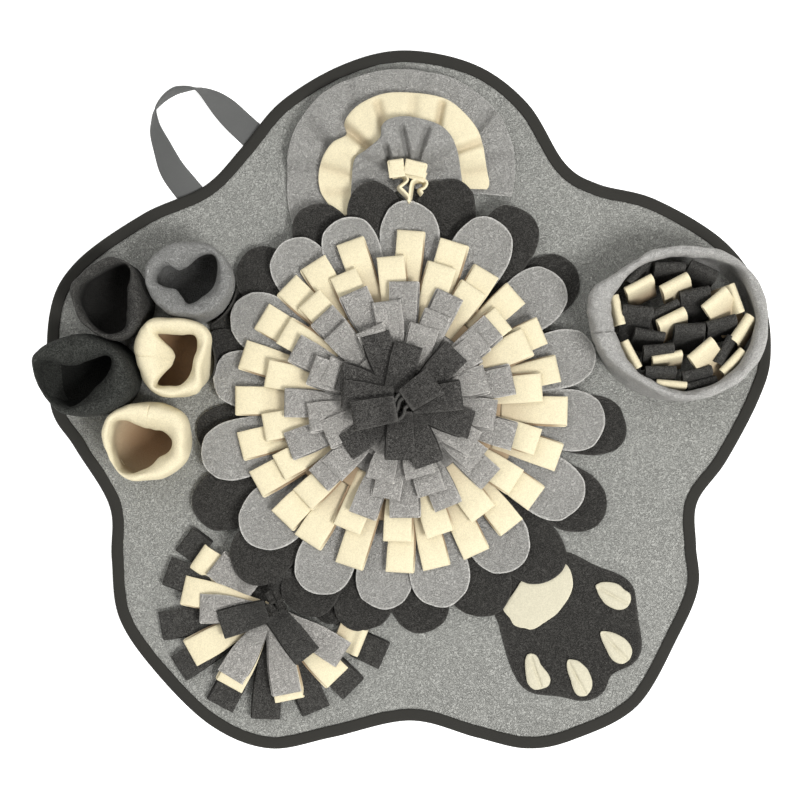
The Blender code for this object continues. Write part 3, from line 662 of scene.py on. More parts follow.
def folded_strip(root, tip, half_root, half_tip, under, thick, draw, lift=0.0, bulge=1.4, roll=None):
    """Where a strip folded double lies from its root to its fold. under(spot) is its underside's height.

    lift raises its tip, bulge swells its top layer, and roll tips it to one side.
    """
    way = tip - root
    length = way.length
    out = way / length
    side = Vector((out.y, -out.x, 0.0))
    if roll is None:
        roll = draw.uniform(-0.15, 0.15)
    seed = draw.uniform(0, 50)
    slip = draw.choice((-1, 1)) * draw.uniform(0.6, 2.0)
    bulge *= draw.uniform(0.4, 1.6)
    columns, rows = STRIP_GRID
    fold = FOLD_LOOP * thick

    def place(u, v):
        row = round(v * rows)
        across = STRIP_ACROSS[round(u * columns)]
        if row <= STRIP_ROWS[0]:
            along, high = (row / STRIP_ROWS[0]) ** 0.75 * (length - fold), 1.0
        elif row < STRIP_ROWS[0] + STRIP_ROWS[1]:
            angle = math.pi * (row - STRIP_ROWS[0]) / STRIP_ROWS[1]
            along, high = length - fold + fold * math.sin(angle), math.cos(angle)
        else:
            back = (row - STRIP_ROWS[0] - STRIP_ROWS[1]) / STRIP_ROWS[2]
            along, high = (1 - back) * (length - fold), -1.0
        share = along / length
        spot = root + out * along
        half = mix(half_root, half_tip, smooth(0.0, 0.75, share))
        radius = mix(ROOT_LOOP * thick, fold, smooth(0.5, 0.95, share))
        height = under(spot) + radius * (1 + high) + lift * smooth(0.5, 1.0, share)
        height -= STRIP_SIDE_DIP * (abs(across) == 1.0) * (high > 0.9)
        height += bulge * math.exp(-((share - BULGE_PLACE) / BULGE_LENGTH) ** 2) * (high > 0)
        height += (across * half * roll + half * abs(roll)) * smooth(0.4, 0.95, share)
        height += STRIP_RIPPLE * ripple(spot.x + across * half, spot.y, 13, seed)
        spot = spot + side * (across * half + slip * (high < 0))
        return Vector((spot.x, spot.y, height))
    return place


def strip_painted_shade(u, v):
    """Painted shade on a folded strip's cloth: some at its root, and deep over all its lower layer."""
    return 0.4 * (1 - smooth(0.0, 0.3, v)) + 0.85 * smooth(0.70, 0.80, v)


def fringe_under(level):
    """The height of a row's underside, by place on the flower's dome."""
    return lambda spot: level + FRINGE_DROP * (1.0 - (spot.length / FRINGE_RIM) ** 2)


def seam_band(radius, level, thick):
    """Where the ring of cloth lies that runs through the folds of one row."""
    under = fringe_under(level)

    def place(u, v):
        spot = heading(-360 * u) * (radius - SEAM_BAND_START + SEAM_BAND * v)
        return Vector((spot.x, spot.y, under(spot) + (thick + STRIP_CUT) / 2))
    return place


def placed(middle, place):
    """A place measured from a middle on the plan, in the row frame."""
    return lambda u, v: at(*(place(u, v) + middle))


def cut_size(lengths):
    """Flat size of the strips of one row laid side by side: their widths added, and their mean length."""
    return 2 * STRIP_HALF * len(lengths), 2 * sum(lengths) / len(lengths)


for name, node, cloth, strips, seam, above, thick in FRINGES:
    row_shape = new_cloth()
    slot, finish = CLOTHS[cloth]
    for index, (direction, reach) in enumerate(strips):
        before = strips[index - 1][0]
        after = strips[(index + 1) % len(strips)][0]
        gap = min((before - direction) % 360, (direction - after) % 360)
        half_root = min(STRIP_HALF, seam * math.tan(math.radians(min(gap, 60) / 2)) - 0.3)
        lay(row_shape, *STRIP_GRID, placed(FLOWER, folded_strip(
            heading(direction + strip_draw.uniform(-2, 2)) * seam, heading(direction) * reach,
            half_root, STRIP_HALF + strip_draw.uniform(-0.6, 0.4), fringe_under(FRINGE_LEVEL + above),
            thick, strip_draw, lift=strip_draw.uniform(-0.6, 0.8))), strip_painted_shade)
    # the band that a row is sewn on is painted in shade all over
    lay(row_shape, *SEAM_BAND_GRID, placed(FLOWER, seam_band(seam, FRINGE_LEVEL + above, thick)),
        lambda u, v: 0.8)
    sew(name, row_shape, node, slot, finish, STRIP_CUT, cut_size([reach - seam for _, reach in strips]),
        "folded")

for name, node, strips in HEARTS:
    row_shape = new_cloth()
    lengths = []
    for root_x, root_y, tip_x, tip_y, half_root, above, roll in strips:
        lengths.append(math.hypot(tip_x - root_x, tip_y - root_y))
        lay(row_shape, *STRIP_GRID, placed(FLOWER, folded_strip(
            Vector((root_x, root_y, 0)), Vector((tip_x, tip_y, 0)), half_root, STRIP_HALF,
            fringe_under(FRINGE_LEVEL + above), HEART_THICK, strip_draw, lift=-3.0, bulge=1.6, roll=roll)),
            strip_painted_shade)
    sew(name, row_shape, node, "dark_fleece", painted_lit_heart_fleece, STRIP_CUT, cut_size(lengths), "folded")


# The heart's knot: the gathered end of the dark strips' cloth. It comes up between the two top strips and
# stands on its edge in a tight curl.
KNOT_CURL = (                  # x, y along it on the plan
    (-7, -15.7), (-4.6, -4.6), (-2.4, 0.3), (0.3, 4.1), (4.1, 6), (7.2, 2.9), (7.4, -0.9), (5.3, -4.6),
    (3.1, -6.4), (2.3, -11.3), (-0.3, -14.8), (-4, -15.7), (-2.4, -11.3), (-0.5, -7), (1, -1.5), (4.1, 0.3),
    (4.8, -2.2),
)
KNOT_GRID = (3, 80)
KNOT_TOP = 64.0
KNOT_HEIGHT = 12.0
KNOT_THICK = 3.0


def curled(path, top, deep, lean):
    """Where a narrow sheet stands on edge along a path, its lower edge leaning outwards."""
    def place(u, v):
        here = curve(path, v)
        ahead = curve(path, min(v + 0.01, 1.0)) - curve(path, max(v - 0.01, 0.0))
        spot = here + Vector((ahead.y, -ahead.x)).normalized() * lean * u
        return at(spot.x, spot.y, top(here) - deep * u)
    return place


knot_shape = new_cloth()
lay(knot_shape, *KNOT_GRID, curled(KNOT_CURL, lambda spot: KNOT_TOP, KNOT_HEIGHT, 0.8))
sew("dark_heart_knot", knot_shape, "fringe_6", *CLOTHS["dark"], KNOT_THICK, (KNOT_HEIGHT, 100), "gathered")


# The five sock pockets: tubes of fleece sewn down round their feet, their tops turned in to a soft thick
# rim. Each is pressed out of round in its own way, with a short seam across its rim.
ON_MAT = 5.3
POCKET_GRID = (80, 27)         # round it, and up and down
POCKET_THICK = 1.6
POCKET_WRINKLE = 1.5
# name, node, cloth, foot x, y, radius outside and inside, mouth's middle, top, direction of the seam,
# where the painted shade inside begins and is full, outline, mouth
POCKETS = (
    ("sock_dark", "pocket_1", "dark", (-250, 86), 31, 15, (-258, 88), 55, -5, (0.56, 0.80),
     ((-287, 100), (-286, 84), (-279, 69), (-268, 59), (-256, 53), (-245, 52), (-234, 56), (-227, 66),
      (-224, 80), (-226, 98), (-231, 112), (-240, 122), (-252, 125), (-265, 121), (-277, 112)),
     ((-279, 99), (-267, 108), (-253, 117), (-243, 119), (-236, 116), (-236, 106), (-238, 94), (-239, 78),
      (-240, 64), (-248, 58), (-258, 59), (-267, 65), (-275, 76), (-281, 87))),
    ("sock_light", "pocket_2", "light", (-181, 101), 33, 22, (-185, 105), 58, 160, (0.66, 0.90),
     ((-223, 108), (-220, 119), (-212, 129), (-201, 136), (-187, 138), (-172, 137), (-158, 130), (-149, 119),
      (-145, 106), (-148, 93), (-157, 82), (-168, 74), (-181, 72), (-196, 74), (-209, 81), (-218, 91)),
     ((-213, 112), (-203, 118), (-194, 114), (-185, 118), (-176, 125), (-166, 128), (-161, 123), (-160, 113),
      (-163, 101), (-170, 92), (-180, 85), (-186, 85), (-191, 91), (-197, 97), (-205, 99), (-213, 104))),
    ("sock_charcoal", "pocket_3", "charcoal", (-265, 21), 34, 20, (-284, 17), 60, 92, (0.60, 0.86),
     ((-321, 34), (-318, 41), (-308, 48), (-296, 54), (-281, 57), (-266, 54), (-250, 47), (-240, 38),
      (-234, 25), (-233, 9), (-242, -6), (-258, -13), (-274, -14), (-289, -13), (-300, -8), (-310, 4),
      (-317, 18)),
     ((-316, 31), (-306, 34), (-296, 31), (-286, 30), (-277, 33), (-268, 36), (-259, 39), (-253, 37),
      (-253, 29), (-259, 19), (-268, 11), (-276, 2), (-283, -5), (-291, -6), (-300, -1), (-309, 10),
      (-314, 21))),
    ("sock_cream_upper", "pocket_4", "cream", (-197, 35), 31, 23, (-188, 36), 58, 176, (0.66, 0.88),
     ((-232, 42), (-231, 52), (-227, 62), (-220, 69), (-211, 72), (-200, 72), (-187, 71), (-176, 68),
      (-168, 62), (-164, 55), (-167, 45), (-171, 33), (-172, 20), (-174, 8), (-182, 4), (-193, 3), (-205, 3),
      (-215, 7), (-223, 16), (-228, 28)),
     ((-214, 58), (-203, 57), (-191, 56), (-180, 57), (-177, 49), (-180, 35), (-185, 21), (-192, 13),
      (-202, 12), (-213, 13), (-208, 22), (-201, 29), (-198, 38), (-201, 46), (-209, 53))),
    ("sock_cream_lower", "pocket_5", "cream", (-219, -36), 33, 15, (-226, -42), 58, 78, (0.58, 0.95),
     ((-260, -32), (-258, -20), (-253, -11), (-245, -6), (-233, -3), (-219, -3), (-207, -4), (-196, -8),
      (-189, -14), (-186, -24), (-187, -38), (-186, -51), (-193, -60), (-204, -67), (-217, -70), (-230, -71),
      (-240, -68), (-249, -59), (-255, -48)),
     ((-249, -20), (-242, -18), (-234, -20), (-225, -25), (-217, -27), (-209, -27), (-202, -31), (-199, -38),
      (-204, -46), (-211, -50), (-217, -57), (-225, -61), (-235, -64), (-243, -61), (-248, -53), (-251, -41),
      (-251, -29))),
)
# depth under the rim's top, share of the way from outline to mouth, share of the way from foot to rim
TUBE_SECTION = (
    (None, 0.0, 0.0), (0.72, -0.06, 0.35), (0.40, -0.08, 0.75), (0.17, 0.0, 1.0), (0.03, 0.16, 1.0),
    (0.0, 0.5, 1.0), (0.06, 0.86, 1.0), (0.20, 1.0, 1.0), (0.45, 0.9, 0.8), (0.75, 0.9, 0.35),
    (None, 1.0, 0.0),
)
SEAM_CROWDING = 0.72           # how much closer the faces are at the seam
SEAM_WIDTH = 0.005             # of the dent at the seam, as a share of the way round
LIP_SAG = 0.45                 # how far cloth turned in past the lip sinks, for each millimetre of it
BOTTOM_TURN = 3.0              # the bottom turns up at its edge and stands this high in its middle
BOTTOM_RISE = 2.4


def tube(foot, foot_radii, wall, middle, top, seam, outline, mouth, seed, wrinkle, seam_depth=1.2, lip=9.0,
         bottom=True):
    """Where a sewn tube of cloth stands: up its outside, over the rolled rim and down inside.

    wall is how far in the foot of its inside is, lip the width of the rim's roll, and wrinkle how
    uneven the cloth is.
    """
    outer = reach_of(outline, middle)
    inner = reach_of(mouth, middle)
    middle = Vector((*middle, 0.0))
    foot = Vector((*foot, 0.0))

    def place(u, v):
        crowded = SEAM_CROWDING * math.sin(2 * math.pi * u) / (2 * math.pi)
        turn = seam + 360 * (u - crowded)
        way = heading(turn)
        width = outer(turn) - inner(turn)
        spread = width - lip
        knots = []
        for depth, across, rise in TUBE_SECTION:
            low = foot + Vector((way.x * (foot_radii[0] - wall * (across == 1.0)),
                                 way.y * (foot_radii[1] - wall * (across == 1.0)), 0.0))
            high = middle + way * (outer(turn) - width * across)
            spot = low.lerp(high, rise)
            if depth is None:
                spot.z = ON_MAT
            else:
                sink = max(spread, 0.0) * LIP_SAG * smooth(0.3, 1.0, across) * (rise == 1.0)
                spot.z = top * (1 - depth) - sink
            knots.append(spot)
        if bottom:
            knots[-1].z += BOTTOM_TURN
            knots.append(foot + Vector((0, 0, ON_MAT + BOTTOM_RISE)))
        spot = curve(knots, v)
        rise = spot.z / top
        pucker = wrinkle * noise.noise(Vector((spot.x / 15, spot.y / 15, spot.z / 26 + seed)))
        pucker += 0.45 * wrinkle * noise.noise(Vector((spot.x / 6, spot.y / 6, spot.z / 12 + seed)))
        from_seam = (u if u < 0.5 else u - 1) / SEAM_WIDTH
        dent = seam_depth * math.exp(-from_seam ** 2) * smooth(0.75, 0.95, rise)
        side = -1.0 if v > 0.5 else 1.0
        spot += way * side * (pucker * smooth(0.15, 0.35, rise) - dent)
        spot.z += 0.35 * pucker * (v > 0.2) * (v < 0.8) - dent * (rise > 0.9)
        return at(*spot)
    return place


mid_fleece = fleece("mid_fleece", (0.28, 0.278, 0.266), contrast=0.24)
charcoal_fleece = fleece("charcoal_fleece", (0.047, 0.0485, 0.0435), contrast=0.45, sheen=0.05)
CLOTHS["light"] = ("light_fleece", mid_fleece)
CLOTHS["charcoal"] = ("charcoal_fleece", charcoal_fleece)

for number, row in enumerate(POCKETS):
    name, node, cloth, foot, radius, inside, middle, top, seam, shade, outline, mouth = row
    slot, finish = CLOTHS[cloth]
    pocket_shape = new_cloth()
    # painted shade: the cloth goes darker on the way down inside, between the two shares given
    lay(pocket_shape, *POCKET_GRID, tube(
        foot, (radius, radius), radius - inside, middle, top, seam, outline, mouth, 3.7 * number,
        POCKET_WRINKLE), lambda u, v: smooth(*shade, v))
    sew(name, pocket_shape, node, slot, finish, POCKET_THICK, (2 * math.pi * radius, 2 * top), "gathered")


# The cup: a wide stout tube of light fleece on the right lobe, stiff enough to stand, with its raw
# outer edge turned over the rim.
CUP_GRID = (150, 28)           # round it, and up and down
CUP_FOOT = (245, 65)
CUP_RADII = (72, 66)
CUP_MIDDLE = (248, 67)         # of its mouth
CUP_TOP = 57.0
CUP_GIRTH = 455
CUP_THICK = 1.8
CUP_SEAM = 186                 # its direction
CUP_OUTLINE = (
    (164, 82), (165, 91), (171, 101), (184, 108), (198, 117), (212, 126), (227, 132), (246, 134),
    (267, 133), (289, 127), (304, 115), (316, 96), (321, 77), (322, 62), (319, 46), (311, 30),
    (298, 17), (279, 6), (259, 0), (238, 1), (216, 11), (195, 24), (180, 36), (171, 50), (166, 66),
)
CUP_MOUTH = (
    (184, 82), (191, 99), (208, 116), (225, 123), (252, 125), (273, 123), (293, 115), (306, 92),
    (311, 69), (299, 36), (276, 15), (248, 8), (222, 16), (207, 26), (192, 50), (187, 65),
)

cup_fleece = fleece("cup_fleece", (0.40, 0.392, 0.372), contrast=0.2, relief=0.8)

cup_shape = new_cloth()
lay(cup_shape, *CUP_GRID, tube(
    CUP_FOOT, CUP_RADII, 4.5, CUP_MIDDLE, CUP_TOP, CUP_SEAM, CUP_OUTLINE, CUP_MOUTH, 21.3, 1.9,
    seam_depth=2.4, lip=22.0, bottom=False))
sew("cup_wall", cup_shape, "cup", "light_fleece", cup_fleece, CUP_THICK, (CUP_GIRTH, 2 * CUP_TOP), "gathered")


# The strips in the cup: folded double and sewn down in rows, so they stand up and lean on each other.
CUP_STRIP_FOOT = 20.0
CUP_STRIP_HALF = 13.5
CUP_STRIP_LENGTH = 72
CUP_STRIP_ROWS = (5, 6, 5)     # up one side, over the fold, and down the other
CUP_STRIP_GRID = (len(STRIP_ACROSS) - 1, sum(CUP_STRIP_ROWS))
CUP_STRIP_PINCH = 0.35         # thickness at the foot, as a share of that at the fold
CUP_STRIP_RIPPLE = 0.5
CREST_SHIFT = 4                # how far back the crest of a strip has moved that lies down flat
LONGEST_LEAN = 40              # a strip that leans further isn't cut longer for it
# x, y, top, direction of the fold, lean from upright and thickness of each strip, by row from the front,
# dark and cream in turn
CUP_ROWS = (
    ((228, 26, 50, 0, 28, 9), (260, 24, 48, 12, 26, 9), (265, 15, 44, 15, 16, 7)),
    ((234, 38, 47, 12, 26, 7), (263, 44, 51, 40, 55, 9), (291, 34, 47, 46, 24, 8),
     (203, 40, 46, -62, 20, 7), (238, 14, 45, -5, 16, 7)),
    ((253, 63, 51, 2, 34, 10), (281, 68, 50, 15, 28, 9), (219, 58, 46, -10, 30, 8),
     (226, 45, 51, 5, 28, 9), (284, 44, 47, 62, 26, 9)),
    ((191, 79, 46, -76, 24, 8), (237, 72, 52, 26, 28, 10), (299, 63, 48, 55, 26, 10)),
    ((258, 94, 47, 12, 45, 9), (208, 79, 48, -6, 52, 8), (232, 80, 46, 25, 30, 8)),
    ((209, 101, 50, 28, 28, 8), (240, 102, 52, 28, 30, 10), (275, 88, 51, 40, 55, 8),
     (294, 89, 46, -70, 30, 8)),
    ((209, 113, 47, 50, 24, 9), (236, 117, 49, 0, 26, 9), (266, 114, 48, -24, 26, 9)),
)
cup_draw = random.Random(5)


def standing_strip(x, y, top, turn, lean, thick, draw):
    """Where a folded strip stands: up one side, over its fold and down the other, leaning back."""
    side = heading(turn)
    back = heading(turn + 90)
    up = back * math.sin(math.radians(lean)) + Vector((0, 0, math.cos(math.radians(lean))))
    across_wall = back * math.cos(math.radians(lean)) - Vector((0, 0, math.sin(math.radians(lean))))
    crest = Vector((x, y, top)) + back * math.sin(math.radians(lean)) * CREST_SHIFT
    length = (top - CUP_STRIP_FOOT) / math.cos(math.radians(min(lean, LONGEST_LEAN)))
    radius = thick / 2
    columns, rows = CUP_STRIP_GRID
    seed = draw.uniform(0, 50)

    def place(u, v):
        row = round(v * rows)
        across = STRIP_ACROSS[round(u * columns)] * CUP_STRIP_HALF
        if row <= CUP_STRIP_ROWS[0]:
            down = (1 - row / CUP_STRIP_ROWS[0]) * length + radius
            out = -radius * mix(1.0, CUP_STRIP_PINCH, smooth(0.0, 1.0, down / length))
        elif row < CUP_STRIP_ROWS[0] + CUP_STRIP_ROWS[1]:
            angle = math.pi * (row - CUP_STRIP_ROWS[0]) / CUP_STRIP_ROWS[1]
            down = radius - radius * math.sin(angle)
            out = -radius * math.cos(angle)
        else:
            down = (row - CUP_STRIP_ROWS[0] - CUP_STRIP_ROWS[1]) / CUP_STRIP_ROWS[2] * length + radius
            out = radius * mix(1.0, CUP_STRIP_PINCH, smooth(0.0, 1.0, down / length))
        out += CUP_STRIP_RIPPLE * ripple(across + 50 * seed, down, 11, seed)
        return at(*(crest + side * across - up * down + across_wall * out))
    return place


for number, strips in enumerate(CUP_ROWS, 1):
    slot, finish = CLOTHS["dark" if number % 2 else "cream"]
    row_shape = new_cloth()
    for strip in strips:
        # painted shade: each strip darker towards its foot on both faces
        lay(row_shape, *CUP_STRIP_GRID, standing_strip(*strip, cup_draw),
            lambda u, v: 0.8 * smooth(0.35, 0.9, abs(2 * v - 1)))
    sew(f"cup_strip_row_{number}", row_shape, f"cup_strips_{number}", slot, finish, STRIP_CUT,
        (2 * CUP_STRIP_HALF * len(strips), CUP_STRIP_LENGTH), "folded")


# The ruffles: three half-rounds of fleece, light, cream and light, gathered into one knot at the foot of
# the top lobe, so that they puff up one over the other.
RUFFLE_FOOT = Vector((5, 190))
RUFFLE_GRID = (108, 28)
RUFFLE_THICK = 1.8
RUFFLE_GATHERED = 0.12         # size at the knot, as a share of that at the rim
RUFFLE_RIPPLE = 0.9
GATHERS = 20                   # round the knot, and their height
GATHER_HEIGHT = 1.2
CREASE_DEPTH = 1.6             # of the depth and the width in the tables below
CREASE_TIGHT = 0.75
CREASE_SHADE = 0.07            # of the painted shade deep in a crease, for each millimetre of its depth
# x, y along the outer edge from the left end to the right end
RUFFLE_OUTER = (
    (-94, 150), (-98, 164), (-101, 181), (-101, 200), (-100, 222), (-92, 245), (-75, 268), (-60, 279),
    (-45, 286), (-15, 294), (14, 294), (44, 288), (66, 276), (86, 258), (96, 240), (102, 221), (103, 200),
    (100, 182),
)
RUFFLE_MIDDLE = (
    (-52, 163), (-62, 172), (-71, 186), (-73, 200), (-69, 215), (-60, 228), (-48, 235), (-50, 245),
    (-42, 257), (-29, 266), (-11, 272), (14, 272), (37, 268), (51, 260), (66, 244), (73, 229), (77, 208),
    (80, 194), (78, 188),
)
RUFFLE_INNER = (
    (-46, 160), (-44, 183), (-41, 211), (-30, 220), (-18, 230), (-16.5, 240), (-11, 246), (0, 249),
    (14, 248), (34, 242), (45, 232), (51, 218), (55, 198), (56, 182),
)
# each crease runs from x, y to x, y, with its depth and half its width
RUFFLE_OUTER_CREASES = (
    (-80, 250, -58, 222, 4.0, 5.0), (-102, 204, -70, 209, 2.4, 5.5), (67, 240, 82, 259, 4.0, 4.5),
    (76, 215, 104, 217, 3.0, 4.5), (-40, 262, -46, 284, 1.6, 6.0), (20, 268, 24, 292, 1.5, 6.0),
    (-95, 178, -70, 186, 1.8, 6.0),
)
RUFFLE_MIDDLE_CREASES = (
    (37, 262, 33, 240, 5.0, 3.6), (72, 228, 46, 219, 4.5, 3.8), (-52, 244, -26, 222, 5.5, 5.0),
    (-20, 262, -13, 236, 4.0, 4.6), (-70, 207, -48, 201, 3.0, 4.0), (76, 204, 58, 202, 2.6, 4.0),
    (12, 268, 10, 246, 2.2, 5.0), (-66, 186, -48, 186, 2.6, 4.5),
)
RUFFLE_INNER_CREASES = (
    (-12, 221, -5, 196, 6.0, 2.8), (2, 238, 7, 212, 4.6, 3.0), (24, 238, 16, 212, 4.6, 3.2),
    (48, 224, 22, 206, 2.6, 4.0), (-36, 214, -12, 204, 2.4, 4.0), (36, 204, 22, 200, 3.0, 3.0),
    (-30, 190, -8, 196, 2.0, 3.0),
)
# name, node, cloth, flat size, outline, creases, and the height of the underside and above it those of the
# rim, of the rim's roll and of the crown
RUFFLES = (
    ("ruffle_fan_light", "ruffle_outer", "pale", (200, 130), RUFFLE_OUTER, RUFFLE_OUTER_CREASES,
     7.2, 10.5, 2.4, 3.0),
    ("ruffle_puff_cream", "ruffle_middle", "cream", (160, 105), RUFFLE_MIDDLE, RUFFLE_MIDDLE_CREASES,
     10.8, 17.5, 5.0, 2.0),
    ("ruffle_puff_light", "ruffle_inner", "pale", (120, 80), RUFFLE_INNER, RUFFLE_INNER_CREASES,
     14.4, 27.0, 6.0, 1.0),
)


def away_from(x, y, start_x, start_y, end_x, end_y):
    """Distance of a place from a line between two points."""
    line = Vector((end_x - start_x, end_y - start_y))
    start = Vector((start_x, start_y))
    along = (Vector((x, y)) - start).dot(line) / line.length_squared
    return (Vector((x, y)) - start - line * min(max(along, 0.0), 1.0)).length


def ruffle_spot(outline, u, v):
    """A place on the plan, the way from the knot to its rim, and the share of that way that it lies out."""
    way = curve(outline, u) - RUFFLE_FOOT
    share = mix(RUFFLE_GATHERED, 1.0, 1 - (1 - v) ** 1.3)
    return RUFFLE_FOOT + way * share, way, share


def crease_shade(outline, creases):
    """How much painted shade each place of a ruffle takes, by how deep in a crease it lies."""
    def painted_shade(u, v):
        spot = ruffle_spot(outline, u, v)[0]
        return max(CREASE_SHADE * depth * math.exp(-(away_from(spot.x, spot.y, *ends) / width) ** 2)
                   for *ends, depth, width in creases)
    return painted_shade


def ruffle(outline, creases, level, rim, roll, crown, seed):
    """Where a gathered half-round lies: rolled at its rim, puffed inside it and pulled down to the knot."""
    def place(u, v):
        spot, way, share = ruffle_spot(outline, u, v)
        rise = rim + roll * math.sqrt(1 - share ** 9) + crown * (1 - smooth(0.45, 1.0, share))
        rise += RUFFLE_RIPPLE * ripple(spot.x, spot.y, 15, seed) * (1 - share ** 8)
        gather = math.sin(GATHERS * math.atan2(way.y, way.x) + 3 * ripple(spot.x, spot.y, 40, seed))
        rise += GATHER_HEIGHT * gather * (1 - smooth(0.4, 1.0, share))
        raised = smooth(8, 42, spot.y - 184)
        height = level + rise * mix(0.12, 1.0, raised)
        for *ends, depth, width in creases:
            away = away_from(spot.x, spot.y, *ends) / width / CREASE_TIGHT
            height -= CREASE_DEPTH * depth * math.exp(-away ** 2) * mix(0.4, 1.0, raised)
        return at(spot.x, spot.y, height)
    return place


CLOTHS["pale"] = ("light_fleece", light_fleece)

for number, (name, node, cloth, flat, outline, creases, *heights) in enumerate(RUFFLES):
    slot, finish = CLOTHS[cloth]
    ruffle_shape = new_cloth()
    lay(ruffle_shape, *RUFFLE_GRID, ruffle(outline, creases, *heights, 7.3 * number),
        crease_shade(outline, creases))
    sew(name, ruffle_shape, node, slot, finish, RUFFLE_THICK, flat, "gathered")


# The ruffles' cream knot: folded tabs on the puff, and under them the gathered end of the cloth, which
# stands on edge in tight curls and tails off between the petals.
TUFT_TABS = (                  # root x, y, tip x, y, half-width, underside
    (-1.6, 195.0, -3.6, 211.0, 6.8, 41.6), (11.0, 196.5, 14.0, 209.5, 9.2, 42.4),
    (14.0, 193.0, 17.0, 202.0, 8.0, 37.4),
)
TUFT_CURL = (
    (-7, 197), (1.5, 198), (6, 194), (2.4, 190), (-1, 187), (3, 183), (6.9, 178.6), (7.8, 173.5),
    (9.4, 181), (10.3, 187.5), (12, 192), (17.6, 193.5), (22.8, 191), (21, 187), (17, 185), (19.5, 181),
)
TUFT_GRID = (3, 90)
TUFT_TOP = 41.0
TUFT_FALL = 7                  # of the tail, below it
TUFT_HEIGHT = 15.0
TUFT_THICK = 2.6

tuft_shape = new_cloth()
for root_x, root_y, tip_x, tip_y, half, under in TUFT_TABS:
    tab = folded_strip(Vector((root_x, root_y, 0)), Vector((tip_x, tip_y, 0)), half, half,
                       lambda spot: under, 3.6, strip_draw, bulge=0.6)
    lay(tuft_shape, *STRIP_GRID, lambda u, v: at(*tab(u, v)))
lay(tuft_shape, *TUFT_GRID, curled(
    TUFT_CURL, lambda spot: TUFT_TOP - TUFT_FALL * smooth(0, 16, 188 - spot.y), TUFT_HEIGHT, 2.5))
sew("ruffle_knot_end", tuft_shape, "ruffle_tuft", *CLOTHS["cream"], TUFT_THICK, (60, 60), "gathered")


# The strip fan: layers of folded strips that spread from one short seam beside the flower and droop to
# the mat, dark below, then cream, grey and two dark ones on top.
FAN_FOOT = Vector((-113.5, -185.5, 0.0))
FAN_LEVEL = 13.0
# name, node, cloth, height above the lowest layer, half-width at the root, and direction and reach of each
# strip, with its root's distance and how much lower it lies where it comes out from under a petal
FANS = (
    ("fan_strips_dark", "fan_1", "dark", 0.0, 5.0, (
        (142.5, 101, 78, 0.5), (160.5, 101), (189.3, 102.4), (212.9, 101.5), (241.8, 100.6),
        (266.4, 100.3), (293, 101), (314.4, 103), (336.2, 109, 80, 3.0), (118, 44), (82, 38))),
    ("fan_strips_cream", "fan_2", "cream", 4.6, 5.5, (
        (145.3, 82.4, 46, 3.6), (168, 81.9), (209, 84.5), (241, 80), (280.4, 83.7), (313.3, 85.4),
        (338, 87, 61, 5.0))),
    ("fan_strips_grey", "fan_3", "grey", 9.2, 5.5, (
        (142, 65.5, 22, 5.5), (179, 64.6), (238.3, 71.7), (280.4, 77), (327.3, 75.7))),
    ("fan_strips_top", "fan_4", "dark", 13.6, 10.5, ((196.9, 47.4), (308.4, 52.8))),
)
FAN_SEAM = 3.0
FAN_THICK = 4.0                # of a folded strip
# distance from the fan's foot, and how far a strip has drooped there
FAN_DROOP = ((0, 0.0), (42, 0.6), (66, 3.6), (90, 6.2), (112, 7.6))
# x, y of both ends of each loop where the strips are tied, from the foot
FAN_LOOPS = ((-4, 16, 3, 6), (3, 18, 9, 7), (-2, 6, 5, -4), (5, 8, 11, -2))
LOOP_LEVEL = FAN_LEVEL + 17.0
LOOP_THICK = 5.0
LOOP_CUT = 1.2


def fan_under(level):
    """The height of a layer's underside, by place from the foot: it droops until it lies on the mat."""
    def under(spot):
        away = spot.length
        for (near, high), (far, low) in zip(FAN_DROOP, FAN_DROOP[1:]):
            if away <= far:
                return max(level - mix(high, low, smooth(near, far, away)), ON_MAT)
        return max(level - FAN_DROOP[-1][1], ON_MAT)
    return under


for name, node, cloth, above, half_root, strips in FANS:
    slot, finish = CLOTHS[cloth]
    fan_shape = new_cloth()
    lengths = []
    for direction, reach, *hidden in strips:
        root, lower = hidden or (FAN_SEAM, 0.0)
        lengths.append(reach - root)
        lay(fan_shape, *STRIP_GRID, placed(FAN_FOOT, folded_strip(
            heading(direction) * root, heading(direction) * reach, STRIP_HALF if hidden else half_root,
            STRIP_HALF, fan_under(FAN_LEVEL + above - lower), FAN_THICK, strip_draw,
            lift=strip_draw.uniform(-0.4, 0.8))), strip_painted_shade)
    sew(name, fan_shape, node, slot, finish, STRIP_CUT, cut_size(lengths), "folded")

loops_shape = new_cloth()
for root_x, root_y, tip_x, tip_y in FAN_LOOPS:
    lay(loops_shape, *STRIP_GRID, placed(FAN_FOOT, folded_strip(
        Vector((root_x, root_y, 0)), Vector((tip_x, tip_y, 0)), 2.4, 3.2, lambda spot: LOOP_LEVEL, LOOP_THICK,
        strip_draw, bulge=1.5)))
sew("fan_strips_knot", loops_shape, "fan_4", "dark_fleece", dark_fleece, LOOP_CUT, (24, 24), "gathered")


